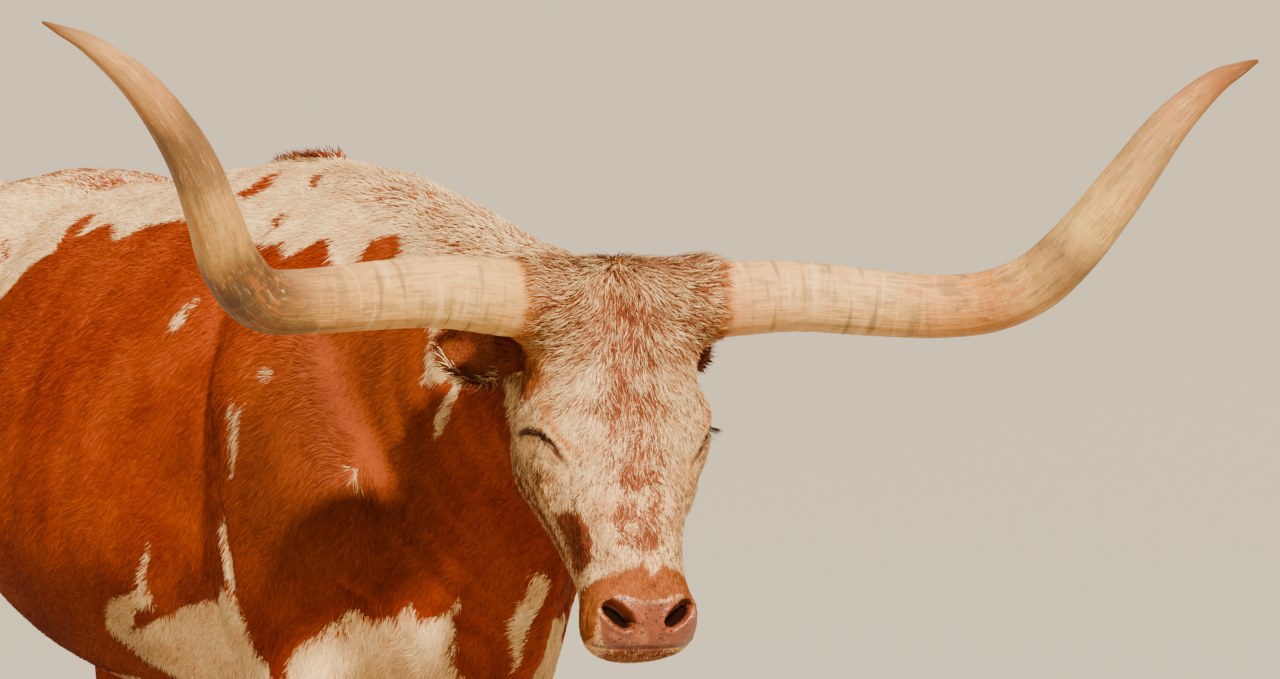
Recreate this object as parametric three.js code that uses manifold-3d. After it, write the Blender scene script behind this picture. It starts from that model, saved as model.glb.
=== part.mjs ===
// A Texas longhorn steer, life size, standing still on four hooves.
// Millimetres, +Z up. The body faces -Y, so the animal's right side is at -X.
// It is modelled whole from lofted sections and then parted with thin cuts.
// The sections stand for the outer face of the short coat.
import * as THREE from 'three';
import { mergeVertices } from 'three/addons/utils/BufferGeometryUtils.js';
import Module from 'manifold-3d';

const wasm = await Module();
wasm.setup();

// Driving dimensions
const WITHERS_HEIGHT = 1310;
const HIP_HEIGHT = 1272;
const BODY_WIDTH = 668;
const FOOT_SPREAD = 170;
const GAP = 0.3;

const HEAD_POLL = new THREE.Vector3(-69, -709, 1213);
const HEAD_YAW = -14.7;
const HEAD_ROLL = 1;
const FACE_TILT = 19;

const HORN_BASE_RADIUS = 47.5;
const HORN_ROOT_DOWN = 48;
const EAR_LENGTH = 178;
const EAR_HALF_WIDTH = 46;
const EYE_RADIUS = 18;
const HOOF_HEIGHT = 75;
const TOE_FORWARD = 22;
const CLEFT_WIDTH = 14;
const CLEFT_END_WIDTH = 3;
const CLEFT_HEIGHT = 65;
const DEWCLAW_SPREAD = 17;
const DEWCLAW_RADIUS = 12;

const LID_THICKNESS = 4.5;
const MOUTH_WIDTH = 5;
const MOUTH_DEPTH = 7;

const TAIL_TIP_HEIGHT = 560;
const SWITCH_TIP_HEIGHT = 215;
const SWITCH_LOCKS = 15;

// Sections of the trunk: y, top, widest height, bottom, half width, roof shape of the upper half
const W = BODY_WIDTH / 2;
const TRUNK = [
  [-350, 900, 800, 705, 40, 1.0],
  [-320, 1030, 810, 652, 118, 1.0],
  [-240, 1180, 850, 600, 174, 1.05],
  [-120, 1280, 895, 570, 224, 1.15],
  [0, WITHERS_HEIGHT - 10, 915, 556, 252, 1.25],
  [140, WITHERS_HEIGHT, 905, 546, 283, 1.2],
  [300, WITHERS_HEIGHT - 17, 890, 538, W - 18, 1.1],
  [470, 1264, 885, 540, W, 1.0],
  [640, 1257, 900, 572, W - 12, 0.95],
  [780, HIP_HEIGHT, 940, 630, W - 44, 0.9],
  [900, 1256, 1000, 735, W - 72, 0.88],
  [1020, 1234, 1040, 846, W - 110, 0.9],
  [1130, 1202, 1050, 900, W - 168, 0.95],
  [1200, 1150, 1050, 950, 95, 1.0],
  [1225, 1100, 1050, 1000, 30, 1.0],
];

// Sections of the neck: x, y and z at the crest, y and z at the throat, half width
const NECK = [
  [0, 60, 1296, -150, 642, 212],
  [0, -80, 1290, -275, 648, 192],
  [-3, -200, 1270, -362, 690, 158],
  [-10, -320, 1244, -430, 755, 126],
  [-20, -430, 1222, -492, 832, 104],
  [-32, -530, 1212, -550, 893, 93],
  [-46, -615, 1205, -600, 935, 88],
  [-58, -680, 1180, -655, 960, 78],
];

// Folds of loose skin under the throat and brisket: x, y, z, depth, half thickness
const DEWLAP = [
  [-28, -535, 898, 20, 12],
  [-20, -480, 824, 44, 15],
  [-12, -425, 748, 56, 18],
  [-6, -375, 690, 62, 24],
  [0, -312, 650, 50, 40],
  [0, -230, 640, 30, 50],
];

// Sections of the head, in its own frame, from the poll to the chin:
// distance down the face, front, back, half width at the brow side and at the jaw side
const HEAD = [
  [-16, -45, -80, 50, 45],
  [-8, -14, -112, 97, 75],
  [12, 14, -140, 123, 88],
  [45, 25, -158, 130, 92],
  [90, 21, -175, 122, 90],
  [140, 12, -200, 115, 90],
  [190, 5, -230, 126, 94],
  [232, 3, -240, 121, 95],
  [280, 2, -234, 98, 90],
  [330, 3, -206, 80, 76],
  [378, 4, -172, 71, 62],
  [415, 4, -150, 69, 54],
  [446, -1, -138, 74, 52],
  [470, -14, -128, 72, 46],
  [486, -34, -115, 56, 36],
  [493, -55, -100, 28, 20],
];

// Sections of a horn: reach sideways, forward, then the rise of the right and the left one,
// then the radius of the right and the left one as a share of the base
const HORN_ROWS = [
  [85, -24, 0, 0, 1.02, 1.02],
  [133, -21, 0, -2, 1, 1],
  [231, -17, 8, 0, 0.93, 0.93],
  [328, -8, 0, -11, 0.875, 0.875],
  [410, 8, -11, -20, 0.83, 0.83],
  [470, 32, -13, -20, 0.81, 0.81],
  [514, 74, 17, -8, 0.765, 0.78],
  [545, 126, 62, 18, 0.68, 0.735],
  [575, 170, 111, 55, 0.615, 0.69],
  [610, 202, 154, 100, 0.54, 0.625],
  [654, 223, 200, 153, 0.43, 0.52],
  [708, 240, 237, 199, 0.26, 0.345],
  [745, 251, 251, 217, 0.125, 0.18],
  [766, 258, 258, 225, 0.035, 0.045],
];

// Skin and hair that stand up round a horn's base: reach sideways, forward, radius
const HORN_COLLAR = [
  [58, -25, 56],
  [100, -23, 60],
  [124, -21.5, 57],
  [136, -21, 50.5],
];

// Sections of a foreleg: z, x, y, half width across, half length
const FORELEG = [
  [1120, 172, -20, 50, 90],
  [1020, 188, -60, 80, 150],
  [900, 192, -122, 92, 165],
  [800, 193, -112, 90, 152],
  [720, 188, -82, 84, 124],
  [640, 184, -82, 72, 96],
  [560, 176, -88, 58, 72],
  [480, 172, -94, 47, 55],
  [420, FOOT_SPREAD, -98, 48, 51],
  [370, FOOT_SPREAD, -96, 43, 46],
  [310, FOOT_SPREAD, -90, 31, 36],
  [200, FOOT_SPREAD, -88, 29, 34],
  [150, FOOT_SPREAD, -90, 37, 42],
  [112, FOOT_SPREAD, -107, 31, 34],
  [HOOF_HEIGHT, FOOT_SPREAD, -120, 40, 46],
];

// Sections of a hind leg, measured in the same way
const HINDLEG = [
  [1160, 120, 960, 60, 130],
  [1060, 150, 960, 105, 185],
  [950, 168, 955, 118, 205],
  [840, 178, 925, 112, 195],
  [750, 182, 915, 98, 160],
  [670, 182, 950, 78, 118],
  [600, 180, 1010, 58, 92],
  [545, 177, 1062, 44, 80],
  [490, 175, 1078, 42, 62],
  [430, 173, 1078, 36, 46],
  [330, FOOT_SPREAD, 1074, 29, 35],
  [210, FOOT_SPREAD, 1066, 29, 34],
  [160, FOOT_SPREAD, 1060, 38, 43],
  [118, FOOT_SPREAD, 1040, 31, 34],
  [HOOF_HEIGHT, FOOT_SPREAD, 1022, 40, 46],
];

// How far each hoof stands ahead of (-) or behind (+) the even place
const LEGS = [
  { name: 'foreleg_right', side: -1, rows: FORELEG, stride: -15 },
  { name: 'foreleg_left', side: 1, rows: FORELEG, stride: 70 },
  { name: 'hindleg_right', side: -1, rows: HINDLEG, stride: 25 },
  { name: 'hindleg_left', side: 1, rows: HINDLEG, stride: -45 },
];

// Swellings and hollows of muscle and bone: place, reach and height, mirrored on both sides
const BODY_FORMS = [
  { name: 'hip bone', at: [205, 790, 1225], reach: 62, height: 26 },
  { name: 'pin bone', at: [112, 1180, 1110], reach: 60, height: 26 },
  { name: 'flank hollow', at: [285, 660, 1130], reach: 105, height: -24 },
  { name: 'hollow before the hip', at: [240, 900, 1190], reach: 90, height: -12 },
  { name: 'stifle', at: [262, 800, 760], reach: 75, height: 20 },
  { name: 'point of the shoulder', at: [240, -255, 860], reach: 75, height: 16 },
  { name: 'hollow behind the shoulder', at: [270, 110, 860], reach: 95, height: -14 },
  { name: 'elbow', at: [235, 35, 745], reach: 48, height: 16 },
  { name: 'point of the hock', at: [176, 1140, 560], reach: 34, height: 12 },
  { name: 'brisket', at: [60, -300, 640], reach: 110, height: 12 },
];
const HEAD_FORMS = [
  { name: 'brow over the eye', at: [108, -32, 186], reach: 34, height: 9 },
  { name: 'temple hollow', at: [116, -62, 130], reach: 40, height: -9 },
  { name: 'cheek bone', at: [94, -78, 290], reach: 34, height: 6 },
  { name: 'chewing muscle', at: [100, -165, 250], reach: 62, height: 8 },
  { name: 'hollow before the cheek', at: [82, -70, 350], reach: 40, height: -6 },
  { name: 'nostril wing', at: [60, -22, 444], reach: 26, height: 7 },
  { name: 'hair of the poll', at: [0, -20, 0], reach: 50, height: 6 },
];

// The value of every column at step t along the rows, on a smooth curve through them
function between(rows, t) {
  const last = rows.length - 1;
  const i = Math.min(Math.floor(t), last - 1);
  const f = t - i;
  const before = rows[Math.max(i - 1, 0)];
  const after = rows[Math.min(i + 2, last)];
  return rows[i].map((from, column) => {
    const to = rows[i + 1][column];
    const slopeIn = (to - before[column]) / 2;
    const slopeOut = (after[column] - from) / 2;
    const f2 = f * f;
    const f3 = f2 * f;
    return from * (2 * f3 - 3 * f2 + 1) + slopeIn * (f3 - 2 * f2 + f)
      + to * (3 * f2 - 2 * f3) + slopeOut * (f3 - f2);
  });
}

// Moves a point of a ring away from the ring's centre by the forms near it
function shaped(point, centre, forms) {
  const out = point.clone().sub(centre).normalize();
  let move = 0;
  for (const form of forms) {
    const [x, y, z] = form.at;
    const dx = Math.abs(point.x) - x;
    const away = (dx * dx + (point.y - y) ** 2 + (point.z - z) ** 2) / (form.reach ** 2);
    move += form.height * Math.exp(-away * 1.4);
  }
  return point.clone().addScaledVector(out, move);
}

// A closed skin over rings of equal count, with a fan over each end
function loft(rings) {
  const count = rings[0].length;
  const points = rings.flat();
  const faces = [];
  for (let r = 0; r < rings.length - 1; r += 1) {
    for (let k = 0; k < count; k += 1) {
      const a = r * count + k;
      const b = r * count + ((k + 1) % count);
      faces.push(a, b, a + count, b, b + count, a + count);
    }
  }
  for (const [r, flip] of [[0, true], [rings.length - 1, false]]) {
    const centre = new THREE.Vector3();
    rings[r].forEach((p) => centre.addScaledVector(p, 1 / count));
    const hub = points.length;
    points.push(centre);
    for (let k = 0; k < count; k += 1) {
      const a = r * count + k;
      const b = r * count + ((k + 1) % count);
      faces.push(...(flip ? [b, a, hub] : [a, b, hub]));
    }
  }
  const geometry = new THREE.BufferGeometry();
  const flat = points.flatMap((p) => [p.x, p.y, p.z]);
  geometry.setAttribute('position', new THREE.Float32BufferAttribute(flat, 3));
  geometry.setIndex(faces);
  return geometry;
}

// A geometry as a solid, with its faces turned outwards
function solid(geometry) {
  const bare = new THREE.BufferGeometry();
  bare.setAttribute('position', geometry.getAttribute('position').clone());
  if (geometry.index) bare.setIndex(geometry.index.clone());
  const merged = mergeVertices(bare, 1e-4);
  const position = merged.getAttribute('position');
  const index = merged.index;
  const v = [0, 1, 2].map(() => new THREE.Vector3());
  let volume = 0;
  for (let t = 0; t < index.count; t += 3) {
    v.forEach((corner, k) => corner.fromBufferAttribute(position, index.getX(t + k)));
    volume += v[0].dot(v[1].cross(v[2]));
  }
  const triVerts = new Uint32Array(index.array);
  if (volume < 0) {
    for (let t = 0; t < triVerts.length; t += 3) {
      [triVerts[t], triVerts[t + 1]] = [triVerts[t + 1], triVerts[t]];
    }
  }
  return new wasm.Manifold(new wasm.Mesh({
    numProp: 3,
    vertProperties: new Float32Array(position.array),
    triVerts,
  }));
}

// The largest closed surface of a solid, as a geometry
function largest(body) {
  const pieces = body.decompose();
  pieces.sort((a, b) => Math.abs(b.volume()) - Math.abs(a.volume()));
  const mesh = pieces[0].getMesh();
  const geometry = new THREE.BufferGeometry();
  geometry.setAttribute('position', new THREE.Float32BufferAttribute(mesh.vertProperties, 3));
  geometry.setIndex(Array.from(mesh.triVerts));
  return geometry;
}

const joined = (solids) => solids.reduce((all, one) => all.add(one));
const wave = (value, power) => Math.sign(value) * Math.abs(value) ** power;

// Trunk, neck, dewlap and legs in the body's frame
function trunk(sides, steps) {
  const rings = [];
  for (let s = 0; s <= (TRUNK.length - 1) * steps; s += 1) {
    const [y, top, middle, bottom, half, roof] = between(TRUNK, s / steps);
    const centre = new THREE.Vector3(0, y, middle);
    rings.push(Array.from({ length: sides }, (_, k) => {
      const angle = (k / sides) * 2 * Math.PI;
      const up = Math.sin(angle);
      const x = half * wave(Math.cos(angle), up > 0 ? roof : 0.92);
      const z = middle + wave(up, 0.96) * (up > 0 ? top - middle : middle - bottom);
      return shaped(new THREE.Vector3(x, y, z), centre, BODY_FORMS);
    }));
  }
  return loft(rings);
}

function neck(sides, steps) {
  const rings = [];
  for (let s = 0; s <= (NECK.length - 1) * steps; s += 1) {
    const [x, crestY, crestZ, throatY, throatZ, half] = between(NECK, s / steps);
    const crest = new THREE.Vector3(x, crestY, crestZ);
    const throat = new THREE.Vector3(x, throatY, throatZ);
    const centre = crest.clone().lerp(throat, 0.5);
    const rise = crest.clone().sub(centre);
    rings.push(Array.from({ length: sides }, (_, k) => {
      const angle = (k / sides) * 2 * Math.PI;
      const up = Math.sin(angle);
      const out = half * wave(Math.cos(angle), up > 0 ? 1.15 : 1.05);
      return centre.clone().addScaledVector(rise, up).add(new THREE.Vector3(out, 0, 0));
    }));
  }
  return loft(rings);
}

function dewlap(sides, steps) {
  const rings = [];
  for (let s = 0; s <= (DEWLAP.length - 1) * steps; s += 1) {
    const [x, y, z, depth, thick] = between(DEWLAP, s / steps);
    rings.push(Array.from({ length: sides }, (_, k) => {
      const angle = (k / sides) * 2 * Math.PI;
      const forward = -0.8 * depth * Math.sin(angle);
      return new THREE.Vector3(x + thick * Math.cos(angle), y + forward, z + 0.6 * forward);
    }));
  }
  return loft(rings);
}

// A leg's stride at height z: all of it at the floor, half of it at the shoulder or hip
const strideAt = (stride, z) => stride * (1 - (0.5 * z) / 1100);

function leg({ rows, side, stride }, sides, steps) {
  const rings = [];
  for (let s = 0; s <= (rows.length - 1) * steps; s += 1) {
    const [z, x, y, across, along] = between(rows, s / steps);
    const shift = strideAt(stride, z);
    const centre = new THREE.Vector3(side * x, y + shift, z);
    rings.push(Array.from({ length: sides }, (_, k) => {
      const angle = (k / sides) * 2 * Math.PI;
      const point = centre.clone();
      point.x += across * Math.cos(angle);
      point.y += along * Math.sin(angle);
      return s === (rows.length - 1) * steps ? point : shaped(point, centre, BODY_FORMS);
    }));
  }
  return loft(rings);
}

// The head's frame: x to the animal's left, y out of the face, z down the face
const headMatrix = new THREE.Matrix4();
{
  const tilt = THREE.MathUtils.degToRad(FACE_TILT);
  const turn = new THREE.Matrix4().makeRotationZ(THREE.MathUtils.degToRad(HEAD_YAW));
  const left = new THREE.Vector3(1, 0, 0);
  const out = new THREE.Vector3(0, -Math.cos(tilt), Math.sin(tilt));
  const down = new THREE.Vector3(0, -Math.sin(tilt), -Math.cos(tilt));
  headMatrix.makeBasis(left, out, down);
  headMatrix.multiply(new THREE.Matrix4().makeRotationY(THREE.MathUtils.degToRad(-HEAD_ROLL)));
  headMatrix.premultiply(turn);
  headMatrix.setPosition(HEAD_POLL);
}
const onHead = (x, y, z) => new THREE.Vector3(x, y, z).applyMatrix4(headMatrix);

function skull(sides, steps, grow = 0) {
  const rings = [];
  for (let s = 0; s <= (HEAD.length - 1) * steps; s += 1) {
    const [down, front, back, brow, jaw] = between(HEAD, s / steps);
    const middle = (front + back) / 2;
    const deep = (front - back) / 2 + grow;
    const centre = new THREE.Vector3(0, middle, down);
    rings.push(Array.from({ length: sides }, (_, k) => {
      const angle = (k / sides) * 2 * Math.PI;
      const forward = Math.cos(angle);
      const mix = Math.min(1, Math.max(0, (0.25 - forward) / 1.15)) ** 1.6;
      const half = brow * (1 - mix) + jaw * mix + grow;
      const point = new THREE.Vector3(
        half * wave(Math.sin(angle), 0.82),
        middle + deep * wave(forward, forward > 0 ? 0.86 : 0.95),
        down,
      );
      return shaped(point, centre, HEAD_FORMS);
    }));
  }
  return loft(rings).applyMatrix4(headMatrix);
}

// A round tapering tube along rows of x, y, z and radius
function tube(rows, sides, steps, grow = 0, matrix = null) {
  const rings = [];
  const path = rows.map((row) => {
    const point = new THREE.Vector3(row[0], row[1], row[2]);
    return matrix ? point.applyMatrix4(matrix) : point;
  });
  const placed = path.map((p, i) => [p.x, p.y, p.z, rows[i][3]]);
  const total = (rows.length - 1) * steps;
  const at = (s) => new THREE.Vector3(...between(placed, s / steps));
  let side = new THREE.Vector3(0.3, 1, 0.1);
  for (let s = 0; s <= total; s += 1) {
    const centre = at(s);
    const ahead = at(Math.min(s + 1, total));
    const along = ahead.sub(at(Math.max(s - 1, 0))).normalize();
    side = side.clone().addScaledVector(along, -side.dot(along)).normalize();
    const across = new THREE.Vector3().crossVectors(along, side);
    const radius = between(placed, s / steps)[3] + grow;
    if (s === 0) centre.addScaledVector(along, -grow);
    if (s === total) centre.addScaledVector(along, grow);
    rings.push(Array.from({ length: sides }, (_, k) => {
      const angle = (k / sides) * 2 * Math.PI;
      return centre.clone().addScaledVector(side, radius * Math.cos(angle))
        .addScaledVector(across, radius * Math.sin(angle));
    }));
  }
  return loft(rings);
}

// Horns: out to the side, a bend forwards and up, then a sweep out to the tip
function hornRows(side) {
  return HORN_ROWS.map(([out, forward, riseRight, riseLeft, right, left]) => {
    const rise = side < 0 ? riseRight : riseLeft;
    const share = side < 0 ? right : left;
    return [side * out, forward, HORN_ROOT_DOWN - rise, share * HORN_BASE_RADIUS];
  });
}

const collar = (side) => solid(tube(
  HORN_COLLAR.map(([out, forward, radius]) => [side * out, forward, HORN_ROOT_DOWN, radius]),
  16,
  1,
  0,
  headMatrix,
));

// Ears: a round root, then a cupped leaf laid back beside the neck
function ear(side, sides, steps, grow = 0) {
  const root = new THREE.Vector3(side * 108, -84, 102);
  const back = new THREE.Vector3(side * 0.34, -0.9, -0.3).normalize();
  const across = new THREE.Vector3(0, -0.35, 0.94);
  across.addScaledVector(back, -across.dot(back)).normalize();
  const out = new THREE.Vector3().crossVectors(across, back).multiplyScalar(side);
  if (out.x * side < 0) out.negate();
  const rows = [
    [0, 24, 20, 0],
    [0.12, 25, 19, 0],
    [0.24, 31, 19, 0.35],
    [0.4, 41, 20, 0.85],
    [0.58, EAR_HALF_WIDTH, 18, 1],
    [0.75, 40, 14, 1],
    [0.9, 25, 9, 0.9],
    [1.0, 7, 4, 0.4],
  ];
  const rings = [];
  for (let s = 0; s <= (rows.length - 1) * steps; s += 1) {
    const [t, half, deep, cup] = between(rows, s / steps);
    const centre = root.clone().addScaledVector(back, t * EAR_LENGTH + (s ? grow : -grow));
    rings.push(Array.from({ length: sides }, (_, k) => {
      const angle = (k / sides) * 2 * Math.PI;
      const wide = (half + grow) * Math.cos(angle);
      let lift = deep * Math.sin(angle);
      if (lift > 0) lift *= 1 - cup * 1.6;
      lift += 1.5 * grow * Math.sin(angle);
      return centre.clone().addScaledVector(across, wide).addScaledVector(out, lift);
    }));
  }
  return loft(rings).applyMatrix4(headMatrix);
}

// A ball with three half sizes, turned and placed in the head's frame
function ball(place, sizes, turn = [0, 0, 0], segments = 12) {
  const geometry = new THREE.SphereGeometry(1, segments, Math.round(segments * 0.7));
  geometry.scale(...sizes);
  geometry.applyMatrix4(new THREE.Matrix4().makeRotationFromEuler(new THREE.Euler(...turn)));
  geometry.translate(...place);
  return geometry.applyMatrix4(headMatrix);
}

const EYE = [94, -58, 222];
const eyePlace = (side) => [side * EYE[0], EYE[1], EYE[2]];

function lids(side) {
  const lid = EYE_RADIUS + LID_THICKNESS;
  return solid(ball(eyePlace(side), [lid, lid + 3, lid], [0, 0, 0], 16));
}

function eyeSlit(side) {
  const [x, y, z] = eyePlace(side);
  const turn = [0, side * 0.35, side * 0.75];
  return solid(ball([x + side * 17, y + 4, z], [12, 19, 3.2], turn, 12));
}

function nostril(side) {
  const deep = solid(ball([side * 39, -6, 456], [10, 14, 14], [0.5, side * -0.5, 0], 10));
  const comma = solid(ball([side * 52, -10, 447], [9, 10, 8], [0.5, side * 0.2, 0], 8));
  return deep.add(comma);
}

// The line of the mouth: a groove round the front of the muzzle and up each cheek
function mouthLine() {
  const rows = [[-30, 490], [-60, 479], [-98, 456], [-130, 425]];
  const shape = new THREE.Shape();
  const half = MOUTH_WIDTH / 2;
  rows.forEach(([y, z], i) => (i ? shape.lineTo(y, z - half) : shape.moveTo(y + 40, z + 4 - half)));
  rows.slice().reverse().forEach(([y, z], i) => (
    shape.lineTo(i === rows.length - 1 ? y + 40 : y, z + half)));
  const plate = new THREE.ExtrudeGeometry(shape, { depth: 240, bevelEnabled: false });
  plate.applyMatrix4(new THREE.Matrix4().set(0, 0, 1, -120, 1, 0, 0, 0, 0, 1, 0, 0, 0, 0, 0, 1));
  return solid(plate.applyMatrix4(headMatrix)).subtract(solid(skull(24, 1, -MOUTH_DEPTH)));
}

// A cloven hoof: one block with a flat sole and a cleft from the toe
function hoof({ rows, side, stride }) {
  const [, x, y, across, along] = rows[rows.length - 1];
  const shift = y + strideAt(stride, HOOF_HEIGHT);
  const sections = [
    [HOOF_HEIGHT - GAP, 0, across + 1, along + 1],
    [52, -7, across + 5, along + 6],
    [26, -15, across + 9, along + 11],
    [4, -TOE_FORWARD, across + 11, along + 14],
    [0, -TOE_FORWARD, across + 9, along + 12],
  ];
  const rings = sections.map(([z, forward, half, long]) => (
    Array.from({ length: 20 }, (_, k) => {
      const angle = (k / 20) * 2 * Math.PI;
      return new THREE.Vector3(
        side * x + half * wave(Math.cos(angle), 0.85),
        shift + forward + long * wave(Math.sin(angle), 0.9),
        z,
      );
    })));
  const toe = shift - TOE_FORWARD - along - 20;
  const cleftEnd = toe + 1.7 * along;
  const cleft = new THREE.Shape([
    new THREE.Vector2(-CLEFT_WIDTH / 2, toe),
    new THREE.Vector2(CLEFT_WIDTH / 2, toe),
    new THREE.Vector2(CLEFT_END_WIDTH / 2, cleftEnd),
    new THREE.Vector2(-CLEFT_END_WIDTH / 2, cleftEnd),
  ]);
  const below = 5;
  const wedge = new THREE.ExtrudeGeometry(cleft, { depth: CLEFT_HEIGHT, bevelEnabled: false });
  wedge.translate(side * x, 0, -below);
  return solid(loft(rings)).subtract(solid(wedge));
}

// Dewclaws: two small blunt claws behind each fetlock
function dewclaw({ rows, side, stride }, inner, grow = 0) {
  const fetlock = rows[rows.length - 3];
  const shift = fetlock[2] + strideAt(stride, fetlock[0]);
  const x = side * FOOT_SPREAD + inner * DEWCLAW_SPREAD;
  const path = [[22, 6, 1], [40, 16, 1], [50, 28, 0.75], [53, 36, 0.33]];
  return tube(path.map(([back, down, share]) => (
    [x, shift + back, fetlock[0] - down, share * DEWCLAW_RADIUS])), 10, 1, grow);
}

// The tail hangs from the rump clear of the hocks
function tail(sides, steps, grow = 0) {
  return tube([
    [0, 1090, 1200, 44],
    [0, 1160, 1196, 42],
    [0, 1222, 1150, 37],
    [2, 1252, 1060, 31],
    [4, 1262, 930, 25],
    [5, 1266, 800, 20],
    [5, 1268, 680, 17],
    [5, 1270, TAIL_TIP_HEIGHT, 13],
  ], sides, steps, grow);
}

// The switch: a core with flat tapered locks that hang and overlap, each turned on
// from the last by the same angle so that they spread evenly
const GOLDEN_TURN = 2.399;

function tailSwitch() {
  const random = seeded(7);
  const x = 5;
  const y = 1270;
  const top = TAIL_TIP_HEIGHT - GAP;
  const core = solid(tube([
    [x, y, top, 13],
    [x, y, top - 60, 21],
    [x, y + 1, top - 150, 27],
    [x, y + 1, top - 230, 17],
    [x, y + 1, top - 285, 5],
  ], 10, 1));
  const locks = Array.from({ length: SWITCH_LOCKS }, (_, n) => {
    const turn = n * GOLDEN_TURN + random() * 0.4;
    const start = top - 22 - 150 * (n / SWITCH_LOCKS);
    const tip = SWITCH_TIP_HEIGHT + (1 - n / SWITCH_LOCKS) * 95 + random() * 45;
    const spread = 30 + random() * 12;
    const width = 13 + random() * 4;
    return solid(lock(new THREE.Vector3(x, y, start), turn, tip, spread, width));
  });
  return joined([core, ...locks]);
}

function lock(root, turn, tip, spread, width) {
  const out = new THREE.Vector3(Math.cos(turn), Math.sin(turn), 0);
  const across = new THREE.Vector3(-out.y, out.x, 0);
  const rows = [
    [0, 0.2, 0.7], [0.25, 0.75, 1], [0.55, 1.0, 0.95], [0.8, 0.85, 0.6], [1, 0.55, 0.12],
  ];
  return loft(rows.map(([t, push, wide]) => {
    const centre = root.clone().addScaledVector(out, spread * push);
    centre.addScaledVector(across, 7 * Math.sin(t * 4 + turn));
    centre.z = root.z + (tip - root.z) * t;
    const half = width * wide;
    const thick = 4.5 * wide + 0.6;
    return [[half, 0], [0, thick], [-half, 0], [0, -thick]].map(([a, b]) => (
      centre.clone().addScaledVector(across, a).addScaledVector(out, b)));
  }));
}

// A repeatable run of numbers from 0 to 1
function seeded(seed) {
  let state = seed;
  return () => {
    state = (state * 16807) % 2147483647;
    return state / 2147483647;
  };
}

// A cutting block, larger by grow on every face
function block([x0, x1], [y0, y1], [z0, z1], grow = 0) {
  const size = [x1 - x0, y1 - y0, z1 - z0].map((length) => length + 2 * grow);
  const geometry = new THREE.BoxGeometry(...size);
  geometry.translate((x0 + x1) / 2, (y0 + y1) / 2, (z0 + z1) / 2);
  return solid(geometry);
}

// What lies ahead of (sign 1) or behind (sign -1) a cutting plane, less half a gap.
// The plane passes through two points of the side view and is turned about the vertical.
function ahead(body, { x, from, to, turn }, sign) {
  const normal = new THREE.Vector3(0, to[1] - from[1], from[0] - to[0]).normalize();
  normal.applyAxisAngle(new THREE.Vector3(0, 0, 1), THREE.MathUtils.degToRad(turn));
  normal.multiplyScalar(sign);
  const offset = normal.dot(new THREE.Vector3(x, ...from)) + GAP / 2;
  return body.trimByPlane(normal.toArray(), offset);
}

const group = new THREE.Group();

function add(name, body, colour, roughness) {
  const material = new THREE.MeshStandardMaterial({ color: colour, roughness, metalness: 0 });
  const mesh = new THREE.Mesh(largest(body), material);
  mesh.name = name;
  group.add(mesh);
}

const RED = 0xb4521f;
const CREAM = 0xe6c9a6;
const HORN = 0xcbab74;
const HOOF = 0x4b4038;
const EYE_BROWN = 0x1e130c;

const skinHead = joined([solid(skull(28, 1)), lids(-1), lids(1), collar(-1), collar(1)]);
const upper = joined([
  solid(trunk(28, 2)), solid(neck(22, 2)), solid(dewlap(8, 2)), skinHead,
  ...LEGS.map((one) => solid(leg(one, 14, 2))),
]);

// Cuts between the named parts of the body
const HEAD_CUT = { x: -50, from: [-590, 1230], to: [-545, 840], turn: HEAD_YAW };
const NECK_CUT = { x: 0, from: [-95, 1330], to: [-345, 640], turn: 0 };
const LEG_CUT = {
  foreleg: { x: [92, 420], y: [-235, 150], z: [-10, 742] },
  hindleg: { x: [40, 420], y: [735, 1230], z: [-10, 838] },
};

let headBody = ahead(upper, HEAD_CUT, 1);
const neckBody = ahead(ahead(upper, HEAD_CUT, -1), NECK_CUT, 1);
let torsoBody = ahead(upper, NECK_CUT, -1);

for (const one of LEGS) {
  const { x, y, z } = LEG_CUT[one.name.split('_')[0]];
  const across = one.side > 0 ? x : [-x[1], -x[0]];
  let body = torsoBody.intersect(block(across, y, z));
  torsoBody = torsoBody.subtract(block(across, y, z, GAP));
  for (const inner of [-1, 1]) {
    const place = inner * one.side > 0 ? 'outer' : 'inner';
    body = body.subtract(solid(dewclaw(one, inner, GAP)));
    add(`dewclaw_${one.name}_${place}`, solid(dewclaw(one, inner)), HOOF, 0.6);
  }
  add(one.name, body, RED, 0.85);
  add(`hoof_${one.name}`, hoof(one), HOOF, 0.6);
}

headBody = headBody.subtract(mouthLine());
for (const [side, name] of [[-1, 'right'], [1, 'left']]) {
  const horn = hornRows(side);
  headBody = headBody.subtract(solid(tube(horn, 16, 2, GAP, headMatrix)));
  add(`horn_${name}`, solid(tube(horn, 16, 2, 0, headMatrix)), HORN, 0.45);
  headBody = headBody.subtract(solid(ear(side, 14, 1, 2 * GAP)));
  add(`ear_${name}`, solid(ear(side, 14, 1)), RED, 0.85);
  const socket = EYE_RADIUS + GAP;
  headBody = headBody.subtract(solid(ball(eyePlace(side), [socket, socket, socket], [0, 0, 0], 14)));
  headBody = headBody.subtract(eyeSlit(side)).subtract(nostril(side));
  const eyeball = solid(ball(eyePlace(side), [EYE_RADIUS, EYE_RADIUS, EYE_RADIUS], [0, 0, 0], 14));
  add(`eye_${name}`, eyeball, EYE_BROWN, 0.1);
}
add('head', headBody, CREAM, 0.85);
add('neck', neckBody, RED, 0.85);

torsoBody = torsoBody.subtract(solid(tail(12, 2, GAP)));
add('torso', torsoBody, RED, 0.85);
add('tail', solid(tail(12, 2)), RED, 0.85);
add('tail_switch', tailSwitch(), CREAM, 0.9);

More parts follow.
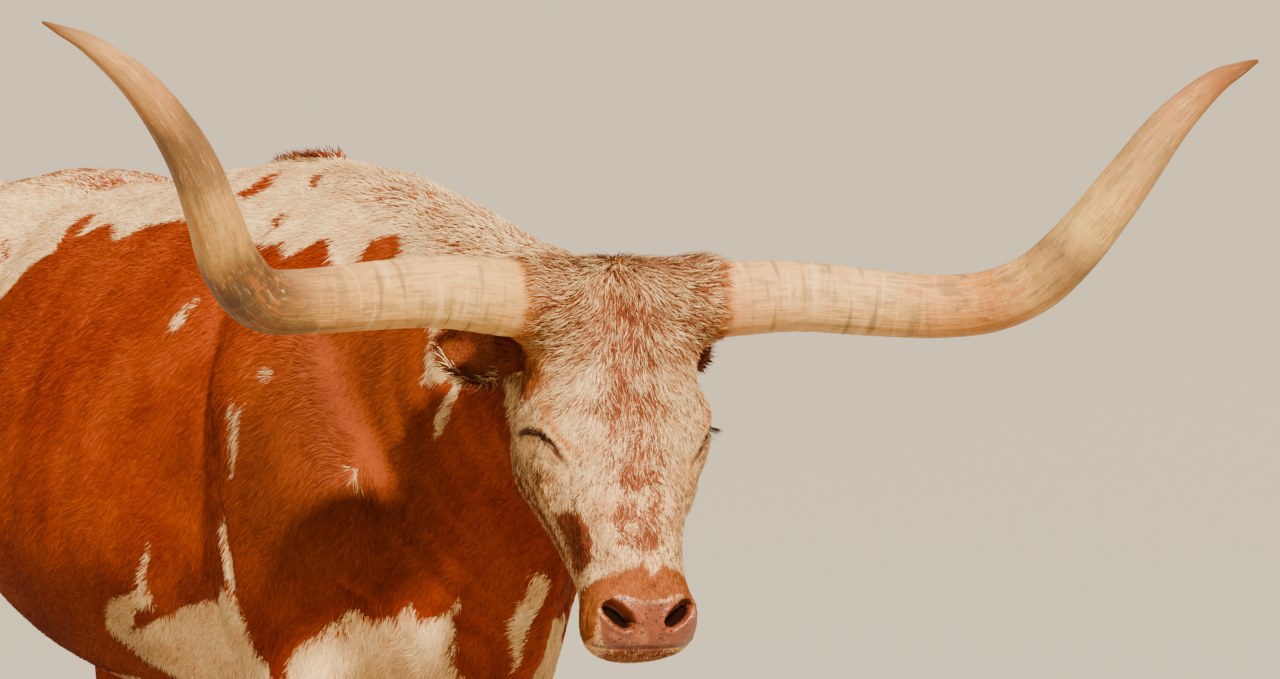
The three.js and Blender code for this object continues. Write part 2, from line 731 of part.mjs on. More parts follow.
// The origin is on the floor, at the middle of the whole animal's outline
const box = new THREE.Box3().setFromObject(group);
const middle = box.getCenter(new THREE.Vector3());
group.position.set(-middle.x, -middle.y, -box.min.z);

export default group;
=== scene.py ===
import math
import bmesh
import bpy
import numpy as np
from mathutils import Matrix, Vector


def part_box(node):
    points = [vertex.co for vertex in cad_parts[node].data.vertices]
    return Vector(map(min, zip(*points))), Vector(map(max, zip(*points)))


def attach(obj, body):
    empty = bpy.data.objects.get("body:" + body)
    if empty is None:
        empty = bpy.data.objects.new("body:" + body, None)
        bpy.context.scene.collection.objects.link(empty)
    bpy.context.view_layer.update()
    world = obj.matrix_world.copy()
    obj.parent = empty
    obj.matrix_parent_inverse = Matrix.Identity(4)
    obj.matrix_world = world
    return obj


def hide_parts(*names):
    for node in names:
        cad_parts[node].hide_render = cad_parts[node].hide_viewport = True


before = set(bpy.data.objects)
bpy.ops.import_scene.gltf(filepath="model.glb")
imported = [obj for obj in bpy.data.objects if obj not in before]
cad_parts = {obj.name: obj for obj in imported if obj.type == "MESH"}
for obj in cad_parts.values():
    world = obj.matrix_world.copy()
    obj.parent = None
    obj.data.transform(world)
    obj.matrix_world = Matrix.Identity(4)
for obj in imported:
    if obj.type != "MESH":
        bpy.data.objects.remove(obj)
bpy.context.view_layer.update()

# The looks of a Texas longhorn steer. Shapes are worked out in millimetres, with
# the body facing -Y, and are moved into the shared frame in metres at the end.

rng = np.random.default_rng(11)

# Measures of the body, in millimetres and degrees
HEAD_POLL = np.array([-69.0, -709.0, 1213.0])
HEAD_YAW = -14.7
HEAD_ROLL = 1.0
FACE_TILT = 19.0
HORN_BASE_RADIUS = 47.5
HORN_ROOT_DOWN = 48.0
EAR_LENGTH = 178.0
EAR_HALF_WIDTH = 46.0
EYE_RADIUS = 18.0
HOOF_HEIGHT = 75.0
GAP = 0.3
LID_THICKNESS = 4.5
DEWCLAW_SPREAD = 17
LEG_LINE = 170
STRIDE_HEIGHT = 1100
TOE_FORWARD = 22
# Where the skin lies lower than the solid, to leave room for the hair of the crown
CROWN_LOWER = [8, 7, 4]
COLLAR_LOWER = 4
COLLAR_THINNER = 3
# How fine the skin and the coat are made
SKIN_VOXEL = 7.0
SWITCH_HAIRS = 9000
LASHES = 90
LOWEST_HAIR = 60
# Where the coat's pieces meet, and how far forward on the face the cheeks end
NECK_END, SHOULDER_END, LEGS_PARTED, FACE_FRONT = -160, 330, 400, -62
EYE = np.array([94.0, -58.0, 222.0])

TRUNK = [
    [-350, 900, 800, 705, 40, 1.0],
    [-320, 1030, 810, 652, 118, 1.0],
    [-240, 1180, 850, 600, 174, 1.05],
    [-120, 1280, 895, 570, 224, 1.15],
    [0, 1300, 915, 556, 252, 1.25],
    [140, 1310, 905, 546, 283, 1.2],
    [300, 1293, 890, 538, 316, 1.1],
    [470, 1264, 885, 540, 334, 1.0],
    [640, 1257, 900, 572, 322, 0.95],
    [780, 1272, 940, 630, 290, 0.9],
    [900, 1256, 1000, 735, 262, 0.88],
    [1020, 1234, 1040, 846, 224, 0.9],
    [1130, 1202, 1050, 900, 166, 0.95],
    [1200, 1150, 1050, 950, 95, 1.0],
    [1225, 1100, 1050, 1000, 30, 1.0],
]
NECK = [
    [0, 60, 1296, -150, 642, 212],
    [0, -80, 1290, -275, 648, 192],
    [-3, -200, 1270, -362, 690, 158],
    [-10, -320, 1244, -430, 755, 126],
    [-20, -430, 1222, -492, 832, 104],
    [-32, -530, 1212, -550, 893, 93],
    [-46, -615, 1205, -600, 935, 88],
    [-58, -680, 1180, -655, 960, 78],
]
DEWLAP = [
    [-28, -535, 898, 20, 12],
    [-20, -480, 824, 44, 15],
    [-12, -425, 748, 56, 18],
    [-6, -375, 690, 62, 24],
    [0, -312, 650, 50, 40],
    [0, -230, 640, 30, 50],
]
HEAD = [
    [-16, -45, -80, 50, 45],
    [-8, -14, -112, 97, 75],
    [12, 14, -140, 123, 88],
    [45, 25, -158, 130, 92],
    [90, 21, -175, 122, 90],
    [140, 12, -200, 115, 90],
    [190, 5, -230, 126, 94],
    [232, 3, -240, 121, 95],
    [280, 2, -234, 98, 90],
    [330, 3, -206, 80, 76],
    [378, 4, -172, 71, 62],
    [415, 4, -150, 69, 54],
    [446, -1, -138, 74, 52],
    [470, -14, -128, 72, 46],
    [486, -34, -115, 56, 36],
    [493, -55, -100, 28, 20],
]
HORN_ROWS = [
    [85, -24, 0, 0, 1.02, 1.02],
    [133, -21, 0, -2, 1, 1],
    [231, -17, 8, 0, 0.93, 0.93],
    [328, -8, 0, -11, 0.875, 0.875],
    [410, 8, -11, -20, 0.83, 0.83],
    [470, 32, -13, -20, 0.81, 0.81],
    [514, 74, 17, -8, 0.765, 0.78],
    [545, 126, 62, 18, 0.68, 0.735],
    [575, 170, 111, 55, 0.615, 0.69],
    [610, 202, 154, 100, 0.54, 0.625],
    [654, 223, 200, 153, 0.43, 0.52],
    [708, 240, 237, 199, 0.26, 0.345],
    [745, 251, 251, 217, 0.125, 0.18],
    [766, 258, 258, 225, 0.035, 0.045],
]
HORN_COLLAR = [
    [58, -25, 56],
    [100, -23, 60],
    [124, -21.5, 57],
    [136, -21, 50.5],
]
FORELEG = [
    [1120, 172, -20, 50, 90],
    [1020, 188, -60, 80, 150],
    [900, 192, -122, 92, 165],
    [800, 193, -112, 90, 152],
    [720, 188, -82, 84, 124],
    [640, 184, -82, 72, 96],
    [560, 176, -88, 58, 72],
    [480, 172, -94, 47, 55],
    [420, 170, -98, 48, 51],
    [370, 170, -96, 43, 46],
    [310, 170, -90, 31, 36],
    [200, 170, -88, 29, 34],
    [150, 170, -90, 37, 42],
    [112, 170, -107, 31, 34],
    [75, 170, -120, 40, 46],
]
HINDLEG = [
    [1160, 120, 960, 60, 130],
    [1060, 150, 960, 105, 185],
    [950, 168, 955, 118, 205],
    [840, 178, 925, 112, 195],
    [750, 182, 915, 98, 160],
    [670, 182, 950, 78, 118],
    [600, 180, 1010, 58, 92],
    [545, 177, 1062, 44, 80],
    [490, 175, 1078, 42, 62],
    [430, 173, 1078, 36, 46],
    [330, 170, 1074, 29, 35],
    [210, 170, 1066, 29, 34],
    [160, 170, 1060, 38, 43],
    [118, 170, 1040, 31, 34],
    [75, 170, 1022, 40, 46],
]
LEGS = [
    ("foreleg_right", -1, FORELEG, -15),
    ("foreleg_left", 1, FORELEG, 70),
    ("hindleg_right", -1, HINDLEG, 25),
    ("hindleg_left", 1, HINDLEG, -45),
]
TAIL = [
    [0, 1090, 1200, 44],
    [0, 1160, 1196, 42],
    [0, 1222, 1150, 37],
    [2, 1252, 1060, 31],
    [4, 1262, 930, 25],
    [5, 1266, 800, 20],
    [5, 1268, 680, 17],
    [5, 1270, 560, 13],
    [5, 1270, 470, 9],
]
# Muscle and bone under the skin, mirrored: x, y, z, reach, height
BODY_FORMS = [
    [205, 790, 1225, 62, 26],
    [112, 1180, 1110, 60, 26],
    [285, 660, 1130, 105, -24],
    [240, 900, 1190, 90, -12],
    [262, 800, 760, 75, 20],
    [240, -255, 860, 75, 16],
    [270, 110, 860, 95, -14],
    [235, 35, 745, 48, 16],
    [176, 1140, 560, 34, 12],
    [60, -300, 640, 110, 12],
]
HEAD_FORMS = [
    [108, -32, 186, 34, 9],
    [116, -62, 130, 40, -9],
    [94, -78, 290, 34, 6],
    [100, -165, 250, 62, 8],
    [82, -70, 350, 40, -6],
    [60, -22, 444, 26, 7],
    [0, -20, 0, 50, 6],
]


# Small helpers
def between(rows, t):
    """Every column at steps t along the rows, on a smooth curve through them."""
    rows = np.asarray(rows, float)
    last = len(rows) - 1
    i = np.minimum(np.floor(t).astype(int), last - 1)
    f = (t - i)[:, None]
    before, here = rows[np.maximum(i - 1, 0)], rows[i]
    there, after = rows[i + 1], rows[np.minimum(i + 2, last)]
    f2, f3 = f * f, f * f * f
    return (here * (2 * f3 - 3 * f2 + 1) + (there - before) / 2 * (f3 - 2 * f2 + f)
            + there * (3 * f2 - 2 * f3) + (after - here) / 2 * (f3 - f2))


def along_rows(rows, steps):
    count = (len(rows) - 1) * steps + 1
    return between(rows, np.arange(count) / steps)


def wave(value, power):
    return np.sign(value) * np.abs(value) ** power


def unit(v):
    return v / np.maximum(np.linalg.norm(v, axis=-1, keepdims=True), 1e-9)


def step(low, high, x):
    t = np.clip((x - low) / (high - low), 0, 1)
    return t * t * (3 - 2 * t)


def blend(a, b, share):
    return a * (1 - share) + b * share


def shaped(points, centre, forms):
    """Moves ring points away from the ring's centre by the forms near them."""
    move = np.zeros(points.shape[:-1])
    for x, y, z, reach, height in forms:
        away = (np.abs(points[..., 0]) - x) ** 2
        away = away + (points[..., 1] - y) ** 2 + (points[..., 2] - z) ** 2
        move += height * np.exp(-1.4 * away / reach ** 2)
    return points + unit(points - centre) * move[..., None]


def circle(sides):
    return np.arange(sides) / sides * 2 * np.pi


def turn_matrix(axis, degrees):
    c, s = math.cos(math.radians(degrees)), math.sin(math.radians(degrees))
    if axis == "z":
        return np.array([[c, -s, 0], [s, c, 0], [0, 0, 1]])
    return np.array([[c, 0, s], [0, 1, 0], [-s, 0, c]])


# The head's frame: to the animal's left, out of the face, down the face
tilt = math.radians(FACE_TILT)
face_axes = np.array([
    [1, 0, 0],
    [0, -math.cos(tilt), -math.sin(tilt)],
    [0, math.sin(tilt), -math.cos(tilt)],
])
HEAD_AXES = turn_matrix("z", HEAD_YAW) @ face_axes @ turn_matrix("y", -HEAD_ROLL)


def on_head(points):
    return np.asarray(points, float) @ HEAD_AXES.T + HEAD_POLL


def from_head(points):
    return (np.asarray(points, float) - HEAD_POLL) @ HEAD_AXES


# The source's origin moved to the middle of the floor: read from an eye's box
low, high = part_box("eye_right")
eye_middle = (np.array(low) + np.array(high)) / 2 * 1000
OFFSET = eye_middle - on_head(EYE * [-1, 1, 1])
OFFSET[2] = 0


def metres(points):
    return (np.asarray(points) + OFFSET) / 1000


# Coherent noise from sums of waves: enough for the lie of the coat and its colour
def waves(points, size, seed, count=7):
    local = np.random.default_rng(seed)
    total = np.zeros(len(points))
    for _ in range(count):
        direction = unit(local.normal(size=3)) * (2 * np.pi / size) * local.uniform(0.6, 1.6)
        total += np.sin(points @ direction + local.uniform(0, 2 * np.pi))
    return total / math.sqrt(count)


# Rings and meshes
def loft(rings):
    """Points, quads and end fans of a closed skin over rings (steps, sides, 3)."""
    steps, sides, _ = rings.shape
    points = rings.reshape(-1, 3)
    k = np.arange(sides)
    r = np.arange(steps - 1)[:, None] * sides
    a, b = r + k, r + (k + 1) % sides
    quads = np.stack([a, b, b + sides, a + sides], -1).reshape(-1, 4)
    hubs = np.array([rings[0].mean(0), rings[-1].mean(0)])
    hub = np.full(sides, len(points))
    start = np.stack([(k + 1) % sides, k, hub], -1)
    end_row = (steps - 1) * sides
    end = np.stack([end_row + k, end_row + (k + 1) % sides, hub + 1], -1)
    points = np.vstack([points, hubs])
    tris = np.vstack([start, end])
    a, b, c, d = points[quads.T]
    volume = (a * np.cross(b, c)).sum() + (a * np.cross(c, d)).sum()
    if volume < 0:
        quads, tris = quads[:, ::-1], tris[:, ::-1]
    return points, quads, tris


def put_together(parts):
    first = np.cumsum([0] + [len(points) for points, _, _ in parts])
    return (np.vstack([p for p, _, _ in parts]),
            np.vstack([q + n for (_, q, _), n in zip(parts, first)]),
            np.vstack([t + n for (_, _, t), n in zip(parts, first)]))


def mesh_from(name, points, quads, tris):
    me = bpy.data.meshes.new(name)
    loops = np.concatenate([quads.ravel(), tris.ravel()]).astype(np.int32)
    starts = np.r_[np.arange(len(quads)) * 4, len(quads) * 4 + np.arange(len(tris)) * 3]
    me.vertices.add(len(points))
    me.vertices.foreach_set("co", np.asarray(points, np.float32).ravel())
    me.loops.add(len(loops))
    me.loops.foreach_set("vertex_index", loops)
    me.polygons.add(len(starts))
    me.polygons.foreach_set("loop_start", starts.astype(np.int32))
    me.update(calc_edges=True)
    me.shade_smooth()
    return me


def object_from(name, data):
    ob = bpy.data.objects.new(name, data)
    bpy.context.scene.collection.objects.link(ob)
    return ob


def evaluated(ob):
    """The mesh of an object with its modifiers applied."""
    graph = bpy.context.evaluated_depsgraph_get()
    return bpy.data.meshes.new_from_object(ob.evaluated_get(graph))


def column(items, key, kind=np.float32, width=3):
    """One property of all vertices or edges of a mesh, a row for each."""
    values = np.zeros(len(items) * width, kind)
    items.foreach_get(key, values)
    return values.reshape(-1, width)


def points_of(me):
    return column(me.vertices, "co").astype(float)


def normals_of(me):
    return column(me.vertices, "normal").astype(float)


def edges_of(me):
    return column(me.edges, "vertices", np.int32, 2)


def set_points(me, points):
    me.vertices.foreach_set("co", points.astype(np.float32).ravel())
    me.update()


def mirrored(points):
    """The points with those of the right side moved over to the left."""
    return points * np.where(np.arange(3) == 0, np.where(points[:, :1] < 0, -1, 1), 1)


def neighbour_mean(values, edges):
    n = len(values)
    a, b = edges[:, 0], edges[:, 1]
    degree = np.maximum(np.bincount(a, minlength=n) + np.bincount(b, minlength=n), 1)
    cols = [np.bincount(a, values[b, k], n) + np.bincount(b, values[a, k], n)
            for k in range(values.shape[1])]
    return np.stack(cols, -1) / degree[:, None]


def store(me, name, values):
    values = np.asarray(values, np.float32)
    kind = "FLOAT" if values.ndim == 1 else "FLOAT_VECTOR"
    layer = me.attributes.new(name, kind, "POINT")
    layer.data.foreach_set("value" if values.ndim == 1 else "vector", values.ravel())


# Body surfaces
def trunk(sides, steps):
    y, top, middle, bottom, half, roof = along_rows(TRUNK, steps).T[:, :, None]
    a = circle(sides)[None, :]
    up = np.sin(a)
    x = half * wave(np.cos(a), np.where(up > 0, roof, 0.92))
    z = middle + wave(up, 0.96) * np.where(up > 0, top - middle, middle - bottom)
    points = np.stack([x, y + 0 * x, z], -1)
    centre = np.stack([0 * y, y, middle], -1)
    return loft(shaped(points, centre, BODY_FORMS))


def neck(sides, steps):
    x, crest_y, crest_z, throat_y, throat_z, half = along_rows(NECK, steps).T[:, :, None]
    a = circle(sides)[None, :]
    up = np.sin(a)
    out = half * wave(np.cos(a), np.where(up > 0, 1.15, 1.05))
    y = (crest_y + throat_y) / 2 + up * (crest_y - throat_y) / 2
    z = (crest_z + throat_z) / 2 + up * (crest_z - throat_z) / 2
    return loft(np.stack([x + out, y, z], -1))


def dewlap(sides, steps):
    x, y, z, depth, thick = along_rows(DEWLAP, steps).T[:, :, None]
    a = circle(sides)[None, :]
    forward = -0.8 * depth * np.sin(a)
    return loft(np.stack([x + thick * np.cos(a), y + forward, z + 0.6 * forward], -1))


def stride_at(stride, height):
    """How far back a leg is set at a height, by a stride that fades towards the body."""
    return stride * (1 - 0.5 * height / STRIDE_HEIGHT)


def leg(side, rows, stride, sides, steps):
    z, x, y, across, along = along_rows(rows, steps).T[:, :, None]
    y = y + stride_at(stride, z)
    a = circle(sides)[None, :]
    points = np.stack([side * x + across * np.cos(a), y + along * np.sin(a), z + 0 * a], -1)
    centre = np.stack([side * x, y, z], -1)
    return loft(shaped(points, centre, BODY_FORMS))


def skull(sides, steps):
    rows = np.array(HEAD, float)
    rows[:3, 0] += CROWN_LOWER
    down, front, back, brow, jaw = along_rows(rows, steps).T[:, :, None]
    middle, deep = (front + back) / 2, (front - back) / 2
    a = circle(sides)[None, :]
    forward = np.cos(a)
    mix = np.clip((0.25 - forward) / 1.15, 0, 1) ** 1.6
    half = blend(brow, jaw, mix)
    x = half * wave(np.sin(a), 0.82)
    y = middle + deep * wave(forward, np.where(forward > 0, 0.86, 0.95))
    points = np.stack([x, y, down + 0 * x], -1)
    centre = np.stack([0 * down, middle, down], -1)
    return loft(on_head(shaped(points, centre, HEAD_FORMS)))


def tube_rings(placed, sides, steps):
    """Rings of a round tapering tube, and the arc length of each ring."""
    rows = along_rows(placed, steps)
    centre, radius = rows[:, :3], rows[:, 3]
    along = unit(np.gradient(centre, axis=0))
    side = np.array([0.3, 1, 0.1])
    rings = []
    for c, t, r in zip(centre, along, radius):
        side = unit(side - (side @ t) * t)
        across = np.cross(t, side)
        a = circle(sides)[:, None]
        rings.append(c + r * (np.cos(a) * side + np.sin(a) * across))
    lengths = np.concatenate([[0], np.cumsum(np.linalg.norm(np.diff(centre, axis=0), axis=1))])
    return np.array(rings), lengths


def ball(place, sizes, segments=32):
    u, v = np.meshgrid(np.linspace(0.03, np.pi - 0.03, segments), circle(segments), indexing="ij")
    points = np.stack([np.sin(u) * np.cos(v), np.sin(u) * np.sin(v), np.cos(u)], -1)
    return loft(on_head(points * sizes + place))


def make_body_mesh():
    lid = EYE_RADIUS + LID_THICKNESS
    parts = [trunk(96, 10), neck(80, 12), dewlap(32, 10), skull(96, 7)]
    parts += [leg(side, rows, stride, 48, 8) for _, side, rows, stride in LEGS]
    parts += [ball(EYE * [side, 1, 1], [lid, lid + 3, lid]) for side in (-1, 1)]
    for side in (-1, 1):
        down = HORN_ROOT_DOWN + COLLAR_LOWER
        placed = np.array([[side * out, forward, down, radius - COLLAR_THINNER]
                           for out, forward, radius in HORN_COLLAR])
        placed[:, :3] = on_head(placed[:, :3])
        parts.append(loft(tube_rings(placed, 48, 6)[0]))
    parts.append(loft(tube_rings(np.array(TAIL, float), 32, 10)[0]))
    ob = object_from("body_parts", mesh_from("body_parts", *put_together(parts)))
    remesh = ob.modifiers.new("union", "REMESH")
    remesh.mode = "VOXEL"
    remesh.voxel_size = SKIN_VOXEL
    me = evaluated(ob)
    bpy.data.objects.remove(ob)
    return me


# Where a point lies: shares from 0 to 1
def head_share(points):
    h = from_head(points)
    return step(-60, 40, h[:, 1] + 0.35 * h[:, 2] + 170) * step(-420, -500, points[:, 1])


def leg_share(points):
    return step(640, 560, points[:, 2])


def coat_depth(points):
    h = from_head(points)
    face = head_share(points)
    depth = 6.5 - 2.5 * leg_share(points)
    on_tail = step(1215, 1235, points[:, 1])
    depth = blend(depth, 3.5, on_tail)
    muzzle = step(380, 440, h[:, 2]) * face
    near_eye = step(50, 26, np.linalg.norm(mirrored(h) - EYE, axis=1))
    face_depth = blend(4.5, 0.8, muzzle)
    face_depth = blend(face_depth, 0.6, near_eye)
    return blend(depth, face_depth, face)


def line_distance(points, line):
    """Distance of points to a line of several stretches, and the place along it 0..1."""
    line = np.asarray(line, float)
    best = np.full(len(points), 1e9)
    place = np.zeros(len(points))
    for i, (a, b) in enumerate(zip(line, line[1:])):
        t = np.clip((points - a) @ (b - a) / ((b - a) @ (b - a)), 0, 1)
        d = np.linalg.norm(points - (a + t[:, None] * (b - a)), axis=1)
        closer = d < best
        best[closer] = d[closer]
        place[closer] = (i + t[closer]) / (len(line) - 1)
    return best, place


def area_distance(points, outline):
    """Signed distance in the plane to a closed outline, positive inside."""
    outline = np.asarray(outline, float)
    inside = np.zeros(len(points), bool)
    best = np.full(len(points), 1e18)
    for a, b in zip(outline, np.roll(outline, -1, axis=0)):
        t = np.clip((points - a) @ (b - a) / max((b - a) @ (b - a), 1e-9), 0, 1)
        gap = points - (a + t[:, None] * (b - a))
        best = np.minimum(best, (gap * gap).sum(1))
        crosses = (a[1] > points[:, 1]) != (b[1] > points[:, 1])
        if a[1] != b[1]:
            x = (b[0] - a[0]) * (points[:, 1] - a[1]) / (b[1] - a[1]) + a[0]
            inside ^= crosses & (points[:, 0] < x)
    return np.where(inside, 1, -1) * np.sqrt(best)


# Folds of the skin, mirrored on both sides: points, width, and depth (+ is a ridge)
EYE_SLIT = [(114, -86, 203), (118, -64, 205), (110, -43, 213), (99, -33, 231), (88, -31, 251)]
HEAD_FOLDS = [
    # the upper lid's two folds and the wrinkle of the brow
    ([(124, -66, 198), (115, -38, 203), (103, -25, 219), (88, -18, 238)], 2.6, -2.2),
    ([(124, -62, 188), (114, -32, 193), (101, -18, 210), (84, -10, 232)], 3.0, -1.6),
    ([(122, -60, 176), (112, -28, 181), (99, -12, 196)], 3.5, -1.3),
    # edges of the lids
    ([(122, -64, 202), (113, -40, 209), (101, -29, 226), (90, -25, 245)], 2.4, 1.8),
    ([(116, -74, 213), (109, -52, 220), (99, -41, 236), (90, -37, 252)], 2.6, 2.0),
    # below the eye: fold and tear groove
    ([(116, -84, 226), (108, -62, 236), (96, -48, 250)], 3.2, -1.8),
    ([(88, -31, 251), (82, -34, 268), (78, -42, 290)], 4.0, -2.6),
    # cheek
    ([(124, -112, 190), (116, -128, 235), (104, -140, 280), (92, -142, 330)], 5.0, -2.0),
    ([(122, -132, 205), (112, -146, 250), (100, -156, 300)], 5.0, -1.6),
    # ridge, vein, and the bridge of the nose with its hollow
    ([(100, -84, 262), (92, -82, 300), (82, -74, 340)], 9.0, 3.0),
    ([(74, -30, 282), (66, -44, 322), (62, -58, 362)], 4.0, 1.2),
    ([(58, -6, 270), (44, -4, 330), (38, -2, 380)], 9.0, 1.5),
    ([(74, -22, 300), (60, -24, 350), (54, -26, 395)], 12.0, -3.2),
    # nostril, lip and mouth's corner
    ([(20, 0, 440), (34, -2, 428), (50, -8, 424), (62, -18, 432)], 4.5, 2.4),
    ([(66, -34, 424), (70, -44, 440), (66, -48, 458)], 4.0, -2.6),
    ([(0, 0, 446), (0, -12, 466), (0, -28, 482)], 3.0, -1.4),
    ([(60, -118, 436), (58, -128, 424), (62, -134, 414)], 5.0, -2.5),
]
MOUTH = [(0, -36, 486), (34, -40, 482), (58, -52, 474), (62, -74, 466), (60, -98, 455),
         (57, -128, 428)]
NOSTRIL = [(17, 460), (22, 449), (34, 438), (46, 430), (55, 431), (60, 438), (56, 449),
           (46, 460), (33, 468), (22, 468)]
BODY_FOLDS = [
    # before the elbow and the chest
    ([(244, 4, 872), (272, -64, 850), (280, -88, 812), (278, -94, 748)], 9, -6),
    ([(206, -262, 786), (180, -250, 768), (150, -250, 752)], 8, -6),
    # shoulder blade: edge and ridge, and the muscle behind the arm
    ([(150, 60, 1240), (215, 40, 1120), (262, 10, 980), (270, -20, 880)], 26, -5),
    ([(150, 0, 1220), (205, -60, 1080), (245, -120, 960)], 24, 2),
    ([(280, 10, 960), (284, -20, 880), (272, 0, 800)], 34, 4),
    # flank and thigh
    ([(270, 640, 760), (262, 720, 740), (240, 780, 700)], 16, -5),
    ([(262, 740, 900), (268, 740, 800), (250, 760, 720)], 20, -5),
    # groove of the neck, and front of the shoulder
    ([(130, -560, 1000), (150, -420, 930), (190, -300, 850)], 26, -7),
    ([(150, -190, 1180), (190, -240, 1040), (214, -262, 920)], 30, -3),
]


def head_details(points, normals):
    """Moves the head's skin into lids, nostrils, mouth and folds."""
    h = from_head(points)
    share = head_share(points)
    near = share > 0.02
    q = mirrored(h[near])
    move = np.zeros(len(q))
    for line, width, depth in HEAD_FOLDS:
        d, place = line_distance(q, line)
        move += depth * np.exp(-(d / width) ** 2) * (0.35 + 0.65 * np.sin(np.pi * place) ** 0.6)
    d, place = line_distance(q, EYE_SLIT)
    wide = 0.9 + 3.4 * np.sin(np.pi * np.clip(place * 1.15, 0, 1)) ** 1.2
    move -= 8.5 * step(wide + 1.6, wide - 1.4, d)
    d, _ = line_distance(q, MOUTH)
    move -= 5.5 * np.exp(-(d / 3.0) ** 2)
    hole = area_distance(q[:, [0, 2]], NOSTRIL)
    front = step(-60, -30, q[:, 1])
    pit = 19 * step(-1.0, 7.5, hole) * front
    rim = 1.6 * np.exp(-((hole + 2.5) / 2.5) ** 2) * front
    out = points.copy()
    n = normals[near]
    inwards = unit(HEAD_AXES @ np.array([0, -1, -0.35]))
    out[near] += n * ((move + rim) * share[near])[:, None] + inwards * pit[:, None]
    return out


def body_details(points, normals):
    q = mirrored(points)
    rest = 1 - head_share(points)
    move = np.zeros(len(points))
    for line, width, depth in BODY_FOLDS:
        low, high = np.min(line, axis=0) - 3 * width, np.max(line, axis=0) + 3 * width
        near = np.all((q > low) & (q < high), axis=1)
        d, place = line_distance(q[near], line)
        move[near] += depth * np.exp(-(d / width) ** 2) * (0.3 + 0.7 * np.sin(np.pi * place) ** 0.7)
    # faint ribs behind the shoulder
    y, z = points[:, 1], points[:, 2]
    on_ribs = step(160, 260, y) * step(640, 540, y) * step(700, 800, z) * step(1180, 1060, z)
    move += 0.8 * on_ribs * np.sin((y + 0.28 * (z - 900)) / 62 * 2 * np.pi)
    # upright folds of loose skin on the neck and dewlap
    on_neck = step(-250, -330, y) * step(1160, 1040, z) * rest
    broken = np.clip(0.5 + 0.5 * waves(points, 260, 15), 0, 1)
    move += 1.6 * broken * on_neck * np.sin((y - 0.5 * z) / 58 * 2 * np.pi + 2.4 * np.sin(z / 90))
    move += 1.3 * waves(points, 150, 5) * rest * (1 - leg_share(points))
    return points + normals * (move * rest)[:, None]


def relax(points, edges, rounds, share=None):
    for _ in range(rounds):
        pull = (neighbour_mean(points, edges) - points) * 0.6
        points = points + (pull if share is None else pull * share[:, None])
    return points


def refine(me, inside):
    """Splits the edges whose two ends pass the test, and so their faces."""
    bm = bmesh.new()
    bm.from_mesh(me)
    chosen = inside(np.array([v.co for v in bm.verts]))
    bm.verts.ensure_lookup_table()
    edges = [e for e in bm.edges if chosen[e.verts[0].index] and chosen[e.verts[1].index]]
    bmesh.ops.subdivide_edges(bm, edges=edges, cuts=1, use_grid_fill=True)
    bmesh.ops.triangulate(bm, faces=[f for f in bm.faces if len(f.verts) > 4])
    bm.to_mesh(me)
    bm.free()
    me.update()


def near_face_detail(points):
    m = mirrored(from_head(points))
    eye, _ = line_distance(m, EYE_SLIT)
    muzzle = (m[:, 2] > 408) & (m[:, 1] > -75)
    mouth, _ = line_distance(m, MOUTH)
    return (head_share(points) > 0.1) & ((eye < 34) | muzzle | (mouth < 12))


def build_skin():
    me = make_body_mesh()
    points, edges = points_of(me), edges_of(me)
    # soften the creases where the parts meet
    bend = np.linalg.norm(neighbour_mean(points, edges) - points, axis=1)[:, None]
    crease = step(0.5, 1.6, bend)
    for _ in range(10):
        crease = np.maximum(crease, neighbour_mean(crease, edges)) * 0.97
    share = crease[:, 0] * (1 - 0.85 * head_share(points)) * step(40, 200, points[:, 2])
    points = relax(points, edges, 4)
    set_points(me, relax(points, edges, 26, share))
    # finer on the head, and finest at the eyes and the muzzle
    for chosen, rounds in ((lambda p: head_share(p) > 0.08, 3), (near_face_detail, 2)):
        refine(me, chosen)
        points = relax(points_of(me), edges_of(me), rounds)
        set_points(me, points)
    normals = normals_of(me)
    points = body_details(points, normals)
    points = points - normals * coat_depth(points)[:, None]
    set_points(me, head_details(points, normals))
    me.shade_smooth()
    return me


# Markings
# Outlines on the animal's right side, in y and girth, and on the face, in its own frame
RED_EDGE = [
    (700, 1075), (582, 1099), (560, 1130), (537, 1144), (504, 1159), (522, 1191), (528, 1222),
    (491, 1233), (478, 1210), (470, 1185), (444, 1202), (406, 1208), (359, 1178), (329, 1186),
    (307, 1200), (259, 1208), (221, 1212), (138, 1209), (100, 1232), (75, 1210), (43, 1210),
    (14, 1214), (-8, 1226), (-41, 1212), (-62, 1229), (-84, 1254), (-101, 1254), (-123, 1233),
    (-161, 1229), (-241, 1240), (-309, 1234), (-342, 1196), (-345, 1147), (-343, 1074),
    (-351, 1087), (-369, 1066), (-381, 1088), (-402, 1099), (-408, 1130), (-406, 1177),
    (-410, 1250), (-470, 1262), (-560, 1240), (-760, 1200), (-760, 400), (-300, 400),
    (900, 400), (1300, 560), (1300, 960), (1120, 1120), (960, 1010), (840, 1120), (760, 1040),
]
RED_PATCHES = [
    [(-164, 1247), (-166, 1278), (-186, 1297), (-210, 1313), (-226, 1300), (-232, 1276),
     (-193, 1260)],
    [(159, 1253), (151, 1267), (149, 1291), (132, 1300), (114, 1277), (117, 1261), (136, 1249)],
    [(31, 1292), (48, 1303), (54, 1313), (43, 1322), (29, 1313), (19, 1298)],
    [(29, 1231), (37, 1244), (27, 1257), (18, 1250), (17, 1239)],
    [(687, 1184), (671, 1179), (652, 1161), (664, 1144)],
    [(980, 1180), (1060, 1200), (1090, 1150), (1010, 1130)],
]
